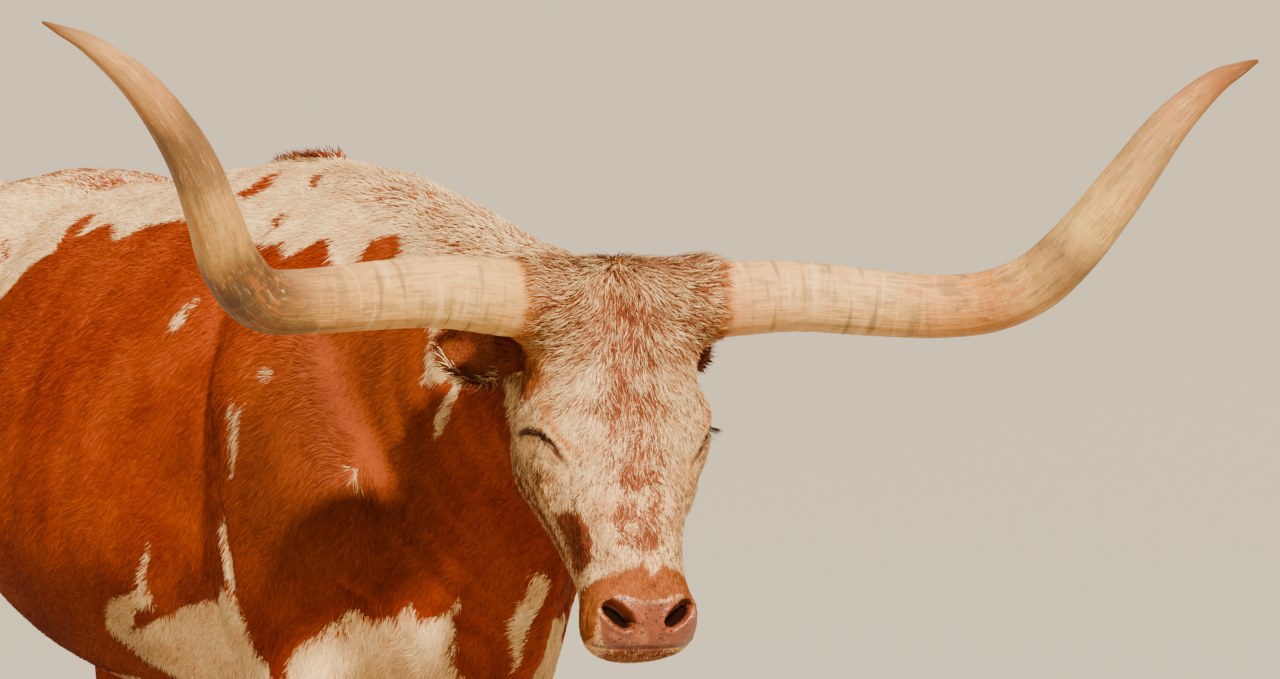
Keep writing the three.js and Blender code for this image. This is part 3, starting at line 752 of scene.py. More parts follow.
WHITE_PATCHES = [
    [(121, 1081), (121, 1099), (106, 1117), (102, 1094), (116, 1079)],
    [(94, 1116), (94, 1125), (88, 1128), (87, 1118)],
    [(-129, 1047), (-130, 1055), (-145, 1047), (-141, 1037)],
    [(-100, 978), (-105, 990), (-113, 998), (-112, 982)],
    [(-98, 904), (-101, 951), (-102, 986), (-108, 992), (-113, 952), (-110, 912)],
    [(-60, 850), (-88, 800), (-96, 770), (-100, 754), (-90, 748), (-72, 800)],
    [(189, 732), (149, 795), (144, 796), (178, 733)],
    [(-413, 1192), (-434, 1188), (-431, 1128), (-418, 1079), (-402, 1004), (-378, 968),
     (-370, 977), (-386, 1017), (-402, 1068), (-414, 1129)],
    [(270, 704), (189, 727), (173, 724), (174, 691), (108, 713), (-30, 737), (-60, 756),
     (-100, 743), (-110, 708), (-119, 678), (-136, 659), (-134, 380), (60, 300), (220, 420),
     (250, 600), (309, 666)],
    [(-156, 642), (-162, 667), (-180, 688), (-192, 703), (-203, 699), (-199, 704), (-215, 723),
     (-225, 736), (-240, 723), (-277, 731), (-287, 744), (-299, 752), (-302, 727), (-319, 728),
     (-357, 758), (-339, 734), (-324, 703), (-310, 665), (-300, 560), (-200, 380), (-150, 420)],
    [(-460, 799), (-492, 784), (-430, 719), (-395, 652), (-378, 640), (-393, 715), (-430, 764)],
]
FAINT_STREAKS = [
    [(-199, -284, 924), (-200, -292, 908)],
    [(-268, -90, 1000), (-276, -92, 968), (-279, -95, 925)],
]
TAN_STREAKS = [
    [(-104, -34, 166), (-98, -22, 192), (-90, -22, 222), (-70, -14, 240)],
    [(108, -40, 170), (100, -24, 205), (84, -16, 240), (80, -40, 275)],
]
RED_ISLANDS = [
    [(221, 694), (180, 712), (170, 694), (221, 669), (257, 662)],
    [(110, 560), (150, 600), (190, 560), (150, 500)],
    [(-60, 610), (-20, 640), (10, 600), (-30, 560)],
]
# The other side, which the photo doesn't show: one red flank with ragged edges
LEFT_EDGE = [
    (760, 1060), (640, 1150), (600, 1100), (520, 1200), (430, 1160), (360, 1235), (260, 1190),
    (180, 1240), (90, 1205), (0, 1250), (-90, 1190), (-160, 1260), (-260, 1215), (-360, 1250),
    (-430, 1190), (-520, 1235), (-760, 1200), (-760, 400), (900, 400), (1300, 560), (1300, 980),
    (1100, 1100), (980, 1000), (860, 1110),
]
LEFT_WHITE = [
    [(330, 720), (250, 760), (150, 715), (60, 740), (-60, 720), (-130, 660), (-120, 380),
     (80, 300), (240, 420), (280, 600)],
    [(-170, 640), (-190, 710), (-260, 740), (-330, 720), (-320, 560), (-200, 380)],
    [(420, 900), (400, 960), (370, 930), (390, 880)],
    [(620, 820), (590, 900), (560, 860), (590, 800)],
    [(-380, 1180), (-430, 1190), (-440, 1090), (-400, 1010), (-370, 1100)],
]
FACE_SPOTS = [
    ([(-30, 49), (-16, 43), (1, 52), (16, 62), (6, 78), (-16, 83), (-19, 66)], 0.85),
    ([(-12, 107), (-4, 95), (10, 91), (17, 100), (7, 112)], 0.6),
    ([(12, 132), (25, 123), (36, 132), (30, 142), (17, 141)], 0.8),
    ([(70, 50), (84, 42), (98, 52), (84, 62)], 0.75),
    ([(92, 22), (112, 24), (116, 46), (104, 44)], 0.6),
    ([(-91, 13), (-84, 20), (-86, 34), (-94, 26)], 0.55),
    ([(-60, 6), (-44, 10), (-50, 24), (-64, 18)], 0.5),
    ([(-112, 43), (-100, 40), (-96, 50), (-108, 52)], 0.6),
    ([(84, 108), (96, 100), (102, 112), (90, 116)], 0.5),
    ([(-50, 150), (-40, 142), (-34, 152), (-44, 160)], 0.4),
    ([(50, 170), (62, 164), (66, 176), (54, 182)], 0.4),
    ([(-92, 306), (-78, 304), (-64, 318), (-58, 346), (-59, 372), (-68, 384), (-80, 372),
      (-94, 346)], 1.2),
    ([(-110, 247), (-104, 253), (-98, 275), (-88, 302), (-98, 305), (-108, 280)], 0.95),
    ([(80, 330), (72, 345), (78, 372), (88, 350)], 0.9),
]
NOSE_ROAN = [(-30, 289), (-22, 268), (0, 262), (26, 272), (36, 309), (30, 347), (20, 379),
             (-10, 379), (-31, 366), (-38, 330)]
LIGHT_ROAN = [(-60, 182), (-50, 215), (-36, 262), (30, 265), (42, 222), (34, 150), (40, 70),
              (0, 20), (-40, 60), (-30, 140)]
MUZZLE_BAND = [(-76, 404), (-62, 402), (-55, 398), (-36, 396), (-21, 391), (-7, 386), (4, 402),
               (12, 398), (22, 386), (42, 394), (60, 402), (78, 408), (86, 470), (66, 476),
               (60, 432), (40, 424), (0, 435), (-38, 425), (-56, 430), (-62, 440), (-64, 470),
               (-84, 470)]
MUZZLE_PAD = [(-40, 425), (-14, 434), (1, 436), (28, 435), (45, 424), (60, 428), (68, 445),
              (66, 470), (58, 482), (34, 486), (0, 488), (-34, 486), (-52, 480), (-58, 468),
              (-62, 452), (-60, 436), (-54, 428)]


def girth(points):
    """A measure down the body's side: the height, and above mid height the turn to the spine."""
    y = points[:, 1]
    middle = np.interp(y, [-600, -400, -200, 0, 200, 1200], [1070, 1005, 965, 935, 920, 1000])
    rise = points[:, 2] - middle
    over = middle + 4.7 * np.degrees(np.arctan2(rise, np.maximum(np.abs(points[:, 0]), 1e-3)))
    return np.where(rise > 0, over, points[:, 2])


def add_areas(field, flat, outlines, sign):
    """The field of red with outlines added to it (sign 1) or taken out of it (sign -1)."""
    for outline in outlines:
        field = sign * np.maximum(sign * field, area_distance(flat, outline))
    return field


def body_marks(points):
    """Signed distance to the red of the body in mm, positive in the red."""
    flat = np.stack([points[:, 1], girth(points)], -1)
    right = add_areas(area_distance(flat, RED_EDGE), flat, RED_PATCHES, 1)
    right = add_areas(right, flat, WHITE_PATCHES, -1)
    right = add_areas(right, flat, RED_ISLANDS, 1)
    flat = flat + 16 * np.stack([waves(points, 130, 91), waves(points, 110, 92)], -1)
    flat = flat + 5 * np.stack([waves(points, 42, 93), waves(points, 38, 94)], -1)
    left = add_areas(area_distance(flat, LEFT_EDGE), flat, LEFT_WHITE, -1)
    left = add_areas(left, flat, RED_ISLANDS[1:2], 1)
    for line in FAINT_STREAKS:
        right = np.minimum(right, line_distance(points, line)[0] - 3.5)
    share = step(-30, 30, points[:, 0])
    field = blend(right, left, share)
    # the belly's pale band, pale lower legs with spots, and the tail
    _, y, z = points.T
    rows = np.array(TRUNK, float)
    belly = np.interp(y, rows[:, 0], rows[:, 3]) + 42 - z
    belly = np.where((y > 130) & (y < 900), belly, -60)
    field = np.minimum(field, -belly)
    low = step(520, 420, z)
    spots = 16 * waves(points, 120, 21) - 14
    lower = np.where(y > 700, 10 - 14 * waves(points, 160, 8), spots)
    field = blend(field, lower, low)
    on_tail = step(1225, 1240, y) * step(1150, 1100, z)
    field = blend(field, (z - 640) * 0.3, on_tail)
    return field


def face_marks(points):
    """Share of red hair on the head from 0 to 1, before noise."""
    h = from_head(points)
    flat = h[:, [0, 2]]
    front = step(-130, -60, h[:, 1])
    red = 0.50 + 0.10 * waves(h, 46, 6) + 0.05 * waves(h, 18, 7)
    brow = step(110, 160, h[:, 2]) * step(22, 48, np.abs(h[:, 0]))
    pale_nose = step(255, 290, h[:, 2]) * step(400, 380, h[:, 2])
    red -= 0.20 * np.maximum(brow, pale_nose)
    red += 0.10 * step(-14, 14, area_distance(flat, LIGHT_ROAN)) * front
    red += 0.30 * step(-10, 12, area_distance(flat, NOSE_ROAN)) * front
    for outline, amount in FACE_SPOTS:
        red = np.maximum(red, amount * step(-7, 5, area_distance(flat, outline)) * front)
    # roan top of the head
    red = np.maximum(red, 0.60 * step(30, -10, h[:, 2]) * step(-120, -60, h[:, 1]))
    collar = step(118, 132, np.abs(h[:, 0])) * step(30, 70, h[:, 2]) * step(120, 100, h[:, 2])
    red = np.maximum(red, 0.8 * collar)
    # cheeks behind the eye: brown with white streaks
    side = step(-96, -116, h[:, 1]) * step(190, 240, h[:, 2]) * step(372, 340, h[:, 2])
    streak = np.sin(h[:, 1] / 5.5 + 1.6 * np.sin(h[:, 2] / 31)) * 0.5 + 0.15 * waves(h, 30, 3)
    red = np.maximum(red, side * (0.72 + 0.5 * streak))
    low_jaw = step(-150, -190, h[:, 1]) * step(60, 120, h[:, 2])
    red = blend(red, 0.5 + 0.35 * waves(h, 60, 4), low_jaw)
    ear_base = step(70, 34, np.linalg.norm(mirrored(h) - [106, -92, 108], axis=1))
    red = np.maximum(red, 0.9 * ear_base)
    band = step(-3, 3, area_distance(flat, MUZZLE_BAND)) * step(-84, -70, h[:, 1])
    red = np.maximum(red, 1.1 * band)
    chin = step(482, 488, h[:, 2]) * step(-130, -70, h[:, 1])
    return np.maximum(red, 0.75 * chin)


def skin_bare(points):
    """Share of bare skin: the muzzle's pad, nostrils, lips and lids' edges."""
    h = from_head(points)
    m = mirrored(h)
    pad = step(-2.5, 2.5, area_distance(h[:, [0, 2]], MUZZLE_PAD)) * step(-62, -48, h[:, 1])
    mouth, _ = line_distance(m, MOUTH[:4])
    lips = step(8, 4, mouth)
    slit, _ = line_distance(m, EYE_SLIT)
    lids = step(7, 3.5, slit)
    return np.clip(np.maximum(np.maximum(pad, lips), lids), 0, 1) * (head_share(points) > 0.2)


def withers_hair(points):
    """The small tuft of longer dark hair on the withers."""
    x, y, z = points.T
    return step(34, 10, np.abs(x)) * step(84, 110, y) * step(256, 225, y) * (z > 1230)


def coat_values(points):
    """What the coat's colour is made from, for points of the skin or tufts' roots."""
    face = head_share(points)
    marks = body_marks(points)
    on_face = face_marks(points)
    h = from_head(points)
    m = mirrored(h)
    x, y, z = points.T
    # roan of the back: strongest along the crest and the hips
    g = girth(points)
    crest = step(1290, 1350, g) * step(40, -80, y)
    hips = step(1250, 1330, g) * step(560, 640, y)
    roan = 0.16 + 0.24 * crest + 0.36 * hips + 0.06 * waves(points, 90, 31)
    roan = np.maximum(roan, 0.95 * withers_hair(points))
    # darker places: the lower flank; a painted shade over the front of the shoulder and the neck;
    # the painted shadow of the horn under its root; darker round the eye's slit and corner (the
    # ears get theirs in ear_values)
    flank = step(800, 690, z) * step(180, 260, y) * step(820, 700, y)
    # painted shade over the front of the shoulder and the side of the neck, both sides: it dims the
    # sunlit shoulder and deepens the neck's shadow
    painted_shade_distance = np.linalg.norm((points - [0, -235, 985]) / [1, 1, 1.5] * [0, 1, 1], axis=1)
    dark = np.maximum(0.5 * flank, 0.58 * step(200, 60, painted_shade_distance))
    withers = step(44, 16, np.abs(x)) * step(80, 120, y) * step(262, 230, y) * (z > 1230)
    dark = np.maximum(dark, 0.75 * withers)
    slit, _ = line_distance(m, EYE_SLIT)
    lash = step(12, 5, slit) * (m[:, 2] < 300)
    corner = step(13, 4, np.linalg.norm(m - [86, -30, 254], axis=1))
    # painted shadow of the horn on the head, just under its root; it joins the darkening round the
    # eye
    painted_horn_shadow = step(26, 8, np.linalg.norm(m - [126, -60, 98], axis=1))
    eye_and_horn_shadow = np.maximum(np.maximum(0.75 * corner, 0.7 * lash), 0.8 * painted_horn_shadow)
    dark = np.maximum(dark, eye_and_horn_shadow * (face > 0.2))
    hole = area_distance(m[:, [0, 2]], NOSTRIL)
    # painted shade: the inside of the nostrils made fully dark
    nostril_painted_shade = step(1.5, 6, hole) * step(-60, -40, h[:, 1]) * (face > 0.2)
    dark = np.maximum(dark, nostril_painted_shade)
    smudge = step(9, 3, np.linalg.norm(h - [4, 3, 415], axis=1))
    dark = np.maximum(dark, 0.6 * smudge)
    orange = step(10, 4, np.minimum(*(line_distance(h, line)[0] for line in TAN_STREAKS)))
    rim = step(26, 12, np.abs(np.linalg.norm(m[:, [1, 2]] - [-22, 48], axis=1) - 44))
    orange = np.maximum(orange, rim * step(104, 114, m[:, 0]) * 0.9)
    muzzle_side = step(-70, -40, h[:, 1]) * step(404, 425, h[:, 2]) * step(54, 66, m[:, 0])
    orange = np.maximum(orange, 0.7 * muzzle_side)
    band = step(-3, 3, area_distance(h[:, [0, 2]], MUZZLE_BAND)) * step(-84, -70, h[:, 1])
    orange = np.maximum(orange, 0.5 * band)
    dark = np.maximum(dark, 0.22 * band)
    curls = step(52, 24, np.linalg.norm(m - [112, -52, 118], axis=1))
    orange = np.maximum(orange, 0.8 * curls) * (face > 0.2)
    # an orange tint over the same painted-shade patch, so its sunlit hair turns less pink
    orange = np.maximum(orange, 0.22 * step(190, 80, painted_shade_distance))
    return {
        "marks": blend(marks, -40, face),
        "red_share": blend(np.clip(roan, 0, 1), on_face, face),
        "on_face": face,
        "dark": np.clip(dark, 0, 1),
        "orange": np.clip(orange, 0, 1),
        "bare": skin_bare(points),
    }


# The lie of the coat
def coat_flow(points, normals):
    """Unit direction in which the hair lies, along the surface."""
    x, y, _ = points.T
    face = head_share(points)[:, None]
    side = np.sign(x)
    top = step(0.3, 0.95, normals[:, 2])
    flow = np.stack([0.12 * side * top, 0.80 + 0 * x, -0.62 * (1 - top)], -1)
    shoulder = step(200, -60, y) * step(-420, -150, y) * (1 - top)
    flow[:, 2] -= 0.45 * shoulder
    legs = leg_share(points)[:, None] * (1 - face)
    flow = blend(flow, np.array([0, 0.12, -1.0]), legs)
    behind = step(1140, 1230, y)[:, None]
    flow = blend(flow, np.array([0, 0.1, -1.0]), behind)
    h = from_head(points)
    centre = step(60, 10, np.abs(h[:, 0] + 2))
    spread = np.stack([(h[:, 0] + 2) * (1.25 - 0.5 * centre), 0 * x,
                       (h[:, 2] - 26) * 0.55 + 18 * centre + 8], -1)
    spread = unit(spread)
    down_nose = step(240, 330, h[:, 2])[:, None]
    spread = unit(spread * (1 - 0.45 * down_nose) + np.array([0, 0, 0.8]) * down_nose * 0.6)
    cheek = step(-60, -110, h[:, 1])[:, None]
    spread = blend(spread, unit(np.array([0, -0.75, 0.62])), cheek)
    flow = blend(flow, spread @ HEAD_AXES.T, face)
    swirl = 0.22 * waves(points, 110, 41) + 0.12 * waves(points, 34, 42)
    swirl = swirl + face[:, 0] * 0.30 * waves(points, 26, 43)
    flow = flow - normals * (flow * normals).sum(1)[:, None]
    flow = unit(flow)
    across = np.cross(normals, flow)
    return unit(flow * np.cos(swirl)[:, None] + across * np.sin(swirl)[:, None])


def coat_size(points):
    """Length, width, lift and how many tufts per square centimetre."""
    _, y, z = points.T
    h = from_head(points)
    m = mirrored(h)
    face = head_share(points)
    g = girth(points)
    legs = leg_share(points)
    length = 17 - 7 * legs
    width = 1.7 - 0.3 * legs
    lift = np.full(len(points), 0.07)
    many = 6.8 + 2.2 * legs
    front = step(420, 120, y) * (1 - face)
    many = many + 3.4 * front
    width = width - 0.3 * front
    crest = step(1280, 1350, g) * step(120, -20, y) * (1 - face)
    length, lift = length + 12 * crest, lift + 0.10 * crest
    withers = withers_hair(points)
    length, lift = length + 2 * withers, lift + 0.7 * withers
    under = step(680, 620, z) * (1 - legs)
    length = length + 8 * under
    poll = step(60, 10, h[:, 2]) * step(-110, -60, h[:, 1])
    face_length = 14 + 9 * poll + 4 * step(200, 90, h[:, 2]) - 5 * step(230, 300, h[:, 2])
    nose = step(360, 420, h[:, 2])
    face_length = face_length - 3.5 * nose
    slit, _ = line_distance(m, EYE_SLIT)
    near_eye = step(34, 12, slit)
    face_length = face_length * (1 - 0.62 * near_eye)
    length = blend(length, face_length, face)
    face_width = 0.95 - 0.25 * nose - 0.3 * near_eye
    width = blend(width, face_width, face)
    face_lift = 0.16 + 0.16 * poll + 0.05 * step(220, 120, h[:, 2])
    lift = blend(lift, face_lift, face)
    face_many = 26 + 14 * nose + 16 * near_eye
    back_head = step(-120, -170, h[:, 1])
    face_many = face_many * (1 - 0.5 * back_head)
    many = blend(many, face_many, face)
    many = many * (1 - skin_bare(points))
    on_tail = step(1225, 1240, y)
    length = blend(length, 20, on_tail)
    return length, width, lift, many


def scatter(me, seed, share=1.0):
    """Roots spread over a mesh by the coat's density, with smooth normals."""
    local = np.random.default_rng(seed)
    me.calc_loop_triangles()
    tri = column(me.loop_triangles, "vertices", np.int32)
    points, normals = points_of(me), normals_of(me)
    corners = points[tri]
    first, second, third = corners.transpose(1, 0, 2)
    area = np.linalg.norm(np.cross(second - first, third - first), axis=1) / 2
    _, _, _, many = coat_size(corners.mean(1))
    expected = area / 100 * many * share
    count = np.floor(expected + local.random(len(expected))).astype(int)
    chosen = np.repeat(np.arange(len(tri)), count)
    u, v = local.random((2, len(chosen)))
    flip = u + v > 1
    u[flip], v[flip] = 1 - u[flip], 1 - v[flip]
    w = np.stack([1 - u - v, u, v], -1)[:, :, None]
    roots = (points[tri[chosen]] * w).sum(1)
    return roots, unit((normals[tri[chosen]] * w).sum(1))


def tufts(roots, normals, flow, length, width, lift, seed, curl=0.25):
    """Blades of three triangles: two at the root, one at the tip."""
    local = np.random.default_rng(seed)
    n = len(roots)
    length = length * local.uniform(0.7, 1.25, n)
    width = width * local.uniform(0.75, 1.25, n)
    across = np.cross(normals, flow)
    yaw = local.normal(0, 0.14, n)
    heading = flow * np.cos(yaw)[:, None] + across * np.sin(yaw)[:, None]
    across = np.cross(normals, heading)
    lift = np.abs(lift * local.uniform(0.5, 1.5, n))
    bend = local.normal(0, curl, n) * 0.35
    base = roots - normals * 0.5
    half = (width / 2)[:, None]
    middle = roots + heading * (0.5 * length)[:, None] + normals * (0.62 * lift * length)[:, None]
    middle = middle + across * (bend * length * 0.2)[:, None]
    tip = roots + heading * (length * 0.98)[:, None] + normals * (0.75 * lift * length)[:, None]
    tip = tip + across * (bend * length)[:, None]
    roll = local.normal(0, 0.25, n)[:, None]
    edge = across * np.cos(roll) + normals * np.sin(roll)
    points = np.stack([base - edge * half, base + edge * half, middle + edge * half * 0.8,
                       middle - edge * half * 0.8, tip], 1)
    return points, local.random(n)


def blades_mesh(name, points, values, place):
    """One mesh of many blades, with the root's values on each vertex and the baking map."""
    n = len(points)
    first = np.arange(n)[:, None] * 5
    quads = first + [0, 1, 2, 3]
    tris = first + [3, 2, 4]
    loops = np.concatenate([quads.ravel(), tris.ravel()])
    me = mesh_from(name, metres(points.reshape(-1, 3)), quads, tris)
    for key, value in values.items():
        store(me, key, np.repeat(value, 5, axis=0))
    store(me, "tip", np.tile([0.0, 0.0, 0.5, 0.5, 1.0], n))
    corner = np.array([[-1, -1], [1, -1], [0.8, 0], [-0.8, 0], [0, 1]]) * 0.0015
    spots = (place[:, None, :] + corner).reshape(-1, 2)
    layer = me.uv_layers.new(name="OFBake")
    layer.data.foreach_set("uv", spots[loops].astype(np.float32).ravel())
    return me


def unwrap(points, region):
    """A place from 0 to 1 for each point on an unwrap of that region's own shape."""
    x, y, z = points.T
    if region == "head":
        h = from_head(points)
        around = np.arctan2(h[:, 0], h[:, 1] + 110) / (2 * np.pi) + 0.5
        down = (h[:, 2] + 60) / 620
    else:
        around = np.arctan2(z - 960, x) / (2 * np.pi) + 0.5
        down = (y + 760) / 2060
    return np.clip(np.stack([around, down], -1) * 0.98 + 0.01, 0.004, 0.996)


# Materials
class Shader:
    """Builds one material's nodes with short calls."""

    def __init__(self, name):
        self.material = bpy.data.materials.new(name)
        self.material.use_nodes = True
        self.tree = self.material.node_tree
        self.tree.nodes.clear()
        self.out = self.tree.nodes.new("ShaderNodeOutputMaterial")
        self.bsdf = self.tree.nodes.new("ShaderNodeBsdfPrincipled")
        self.tree.links.new(self.bsdf.outputs[0], self.out.inputs["Surface"])

    def link(self, value, socket):
        if isinstance(value, bpy.types.NodeSocket):
            self.tree.links.new(value, socket)
        elif value is not None:
            socket.default_value = value

    def attribute(self, name, vector=False):
        node = self.tree.nodes.new("ShaderNodeAttribute")
        node.attribute_name = name
        return node.outputs["Vector" if vector else "Fac"]

    def math(self, kind, a, b=None, c=None, clamp=False):
        node = self.tree.nodes.new("ShaderNodeMath")
        node.operation = kind
        node.use_clamp = clamp
        for value, socket in zip((a, b, c), node.inputs):
            self.link(value, socket)
        return node.outputs[0]

    def times(self, a, b):
        return self.math("MULTIPLY", a, b)

    def swayed(self, value, noise, amount):
        """A value moved to and fro by a noise."""
        return self.math("MULTIPLY_ADD", self.math("SUBTRACT", noise, 0.5), amount, value)

    def noise(self, vector, scale, detail=3.0, roughness=0.55):
        node = self.tree.nodes.new("ShaderNodeTexNoise")
        node.inputs["Scale"].default_value = scale
        node.inputs["Detail"].default_value = detail
        node.inputs["Roughness"].default_value = roughness
        self.link(vector, node.inputs["Vector"])
        return node.outputs["Fac"]

    def cells(self, vector, scale):
        node = self.tree.nodes.new("ShaderNodeTexVoronoi")
        node.inputs["Scale"].default_value = scale
        self.link(vector, node.inputs["Vector"])
        return node.outputs["Distance"]

    def scaled(self, vector, factors):
        node = self.tree.nodes.new("ShaderNodeVectorMath")
        node.operation = "MULTIPLY"
        self.link(vector, node.inputs[0])
        node.inputs[1].default_value = factors
        return node.outputs[0]

    def ramp(self, value, stops):
        node = self.tree.nodes.new("ShaderNodeValToRGB")
        items = node.color_ramp.elements
        while len(items) < len(stops):
            items.new(0.5)
        for item, (at, colour) in zip(items, stops):
            item.position = at
            item.color = (*colour, 1)
        self.link(value, node.inputs[0])
        return node.outputs[0]

    def range(self, value, low, high, to_low=0.0, to_high=1.0):
        node = self.tree.nodes.new("ShaderNodeMapRange")
        node.interpolation_type = "SMOOTHSTEP"
        for item, v in zip(node.inputs, (value, low, high, to_low, to_high)):
            self.link(v, item)
        return node.outputs[0]

    def mix(self, factor, a, b, kind="MIX"):
        node = self.tree.nodes.new("ShaderNodeMix")
        node.data_type = "RGBA"
        node.blend_type = kind
        self.link(factor, node.inputs[0])
        for value, socket in ((a, node.inputs[6]), (b, node.inputs[7])):
            self.link((*value, 1) if isinstance(value, tuple) else value, socket)
        return node.outputs[2]

    def tinted(self, colour, share, amount, tint):
        """A colour with a tint laid over a share of it."""
        return self.mix(self.times(share, amount), colour, tint)

    def bump(self, height, strength, distance):
        node = self.tree.nodes.new("ShaderNodeBump")
        node.inputs["Strength"].default_value = strength
        node.inputs["Distance"].default_value = distance
        self.link(height, node.inputs["Height"])
        self.tree.links.new(node.outputs[0], self.bsdf.inputs["Normal"])

    def set(self, **inputs):
        for name, value in inputs.items():
            self.link(value, self.bsdf.inputs[name.replace("_", " ")])


def lin(r, g, b):
    """A screen colour of 0 to 255 in linear light."""
    return tuple(((v / 255 + 0.055) / 1.055) ** 2.4 if v > 10 else v / 3294 for v in (r, g, b))


RED = lin(158, 60, 10)
RED_DEEP = lin(126, 37, 6)
RED_LIGHT = lin(176, 86, 16)
CREAM = lin(252, 210, 144)
CREAM_SHADE = lin(224, 164, 100)
BROWN_DARK = lin(56, 24, 12)
ORANGE = lin(196, 108, 36)
PINK = lin(130, 62, 26)
PINK_DARK = lin(128, 58, 30)
FACE_RED = lin(108, 42, 20)
FACE_RED_LIGHT = lin(148, 78, 44)


def coat_material(name, on_tufts):
    s = Shader(name)
    root = s.attribute("root", vector=True)
    marks = s.attribute("marks")
    share = s.attribute("red_share")
    face = s.attribute("on_face")
    rand = s.attribute("rand") if on_tufts else 0.5
    drawn = s.scaled(root, (1.0, 0.5, 0.8))
    coarse = s.noise(drawn, 30, 5, 0.62)
    fine = s.noise(root, 150, 4, 0.62)
    finer = s.noise(root, 480, 2)
    # body: ragged edge between red and pale hair
    ragged = s.swayed(marks, coarse, 17.0)
    ragged = s.swayed(ragged, fine, 11.0)
    if on_tufts:
        ragged = s.swayed(ragged, rand, 7.0)
    red_body = s.range(ragged, -1.5, 1.5)
    # hair by hair mixture of red in the pale parts
    grain = s.math("ADD", s.times(fine, 0.75), s.times(finer, 0.35))
    if on_tufts:
        spread = s.math("MULTIPLY_ADD", face, 0.22, 0.22)
        grain = s.swayed(grain, rand, spread)
    threshold = s.math("SUBTRACT", 0.86, s.times(share, 0.62))
    red_roan = s.range(s.math("SUBTRACT", grain, threshold), -0.05, 0.05)
    is_red = s.math("MAXIMUM", red_body, red_roan, clamp=True)
    # reds: deep and bright in large soft patches and small ones
    tone = s.noise(root, 7, 3)
    red = s.mix(s.range(tone, 0.3, 0.7), RED_DEEP, RED)
    red = s.tinted(red, s.range(fine, 0.5, 0.8), 0.5, RED_LIGHT)
    pale = s.mix(s.range(coarse, 0.35, 0.75), CREAM, CREAM_SHADE)
    if on_tufts:
        rooted = s.times(s.math("SUBTRACT", 1.0, s.attribute("tip")), face)
        pale = s.tinted(pale, rooted, 0.5, lin(184, 116, 74))
    face_red = s.mix(s.range(fine, 0.3, 0.7), FACE_RED, FACE_RED_LIGHT)
    red = s.mix(face, red, face_red)
    colour = s.mix(is_red, pale, red)
    colour = s.tinted(colour, s.attribute("orange"), 0.7, ORANGE)
    # darkened where "dark" is set: the hair's own dark places, and painted shade on the shoulder
    # and neck, in the nostrils, on the ears and under the horns
    colour = s.tinted(colour, s.attribute("dark"), 0.85, BROWN_DARK)
    if on_tufts:
        tip = s.attribute("tip")
        lighter = s.mix(0.5, colour, (1.0, 0.93, 0.84), "SOFT_LIGHT")
        colour = s.tinted(colour, tip, 0.4, lighter)
        other = s.math("FRACT", s.times(rand, 37.0))
        dim = s.math("MULTIPLY_ADD", face, -0.14, 0.55)
        vary = s.math("MULTIPLY_ADD", other, s.math("SUBTRACT", 1.0, dim), dim)
        colour = s.mix(1.0, colour, s.ramp(vary, [(0.0, (0, 0, 0)), (1.0, (1, 1, 1))]), "MULTIPLY")
        s.set(Base_Color=colour, Roughness=0.66, Specular_IOR_Level=0.06)
        return s.material
    # bare skin of muzzle and lids
    bare = s.attribute("bare")
    blotch = s.noise(root, 42, 4)
    pink = s.mix(s.range(blotch, 0.35, 0.7), PINK, lin(108, 48, 20))
    freckle = s.range(s.cells(root, 170), 0.36, 0.24)
    freckle = s.times(freckle, s.range(s.noise(root, 34, 2), 0.43, 0.53))
    blush = s.range(s.noise(root, 60, 3), 0.52, 0.7)
    pink = s.tinted(pink, blush, 0.6, lin(172, 98, 56))
    pink = s.tinted(pink, freckle, 0.85, BROWN_DARK)
    # bare skin darker where "dark" is set: painted shade inside the nostrils
    pink = s.tinted(pink, s.attribute("dark"), 0.95, lin(34, 16, 12))
    colour = s.tinted(colour, s.range(s.noise(root, 300, 2), 0.4, 0.7), 0.25, PINK_DARK)
    colour = s.mix(bare, colour, pink)
    # near black where "dark" is highest: painted shade, mainly deep in the nostrils
    deep = s.times(s.range(s.attribute("dark"), 0.8, 1.0), face)
    colour = s.mix(deep, colour, lin(26, 12, 8))
    pebbles = s.cells(root, 420)
    hair = s.noise(s.scaled(root, (1.0, 0.35, 0.5)), 620, 3)
    height = s.math("ADD", s.times(pebbles, s.times(bare, 0.9)),
                    s.times(hair, s.math("SUBTRACT", 1.0, bare)))
    s.bump(height, 0.55, 0.0012)
    rough = s.range(bare, 0.0, 1.0, 0.7, 0.36)
    lit = s.math("SUBTRACT", 1.0, s.attribute("dark"))
    gloss = s.times(s.range(bare, 0.2, 0.9, 0.08, 0.55), lit)
    s.set(Base_Color=colour, Roughness=rough, Specular_IOR_Level=gloss,
          Subsurface_Weight=0.06, Subsurface_Radius=(0.006, 0.003, 0.002))
    return s.material


RIGHT_HORN = [
    (0.00, lin(196, 124, 46)), (0.05, lin(222, 172, 94)), (0.14, lin(226, 184, 112)),
    (0.28, lin(222, 176, 100)), (0.35, lin(200, 150, 78)), (0.43, lin(126, 86, 46)),
    (0.51, lin(100, 68, 42)), (0.54, lin(120, 84, 50)), (0.57, lin(204, 158, 86)),
    (0.65, lin(212, 166, 94)), (0.69, lin(150, 112, 72)), (0.76, lin(134, 98, 62)),
    (0.81, lin(190, 140, 80)), (0.92, lin(206, 158, 100)), (1.00, lin(130, 78, 38)),
]
LEFT_HORN = [
    (0.00, lin(200, 130, 56)), (0.05, lin(222, 168, 102)), (0.12, lin(228, 182, 118)),
    (0.27, lin(228, 188, 122)), (0.38, lin(216, 158, 80)), (0.47, lin(204, 138, 58)),
    (0.53, lin(228, 182, 110)), (0.60, lin(172, 136, 90)), (0.65, lin(236, 196, 118)),
    (0.71, lin(222, 178, 106)), (0.77, lin(190, 150, 94)), (0.86, lin(196, 144, 82)),
    (0.93, lin(176, 112, 52)), (1.00, lin(124, 68, 30)),
]


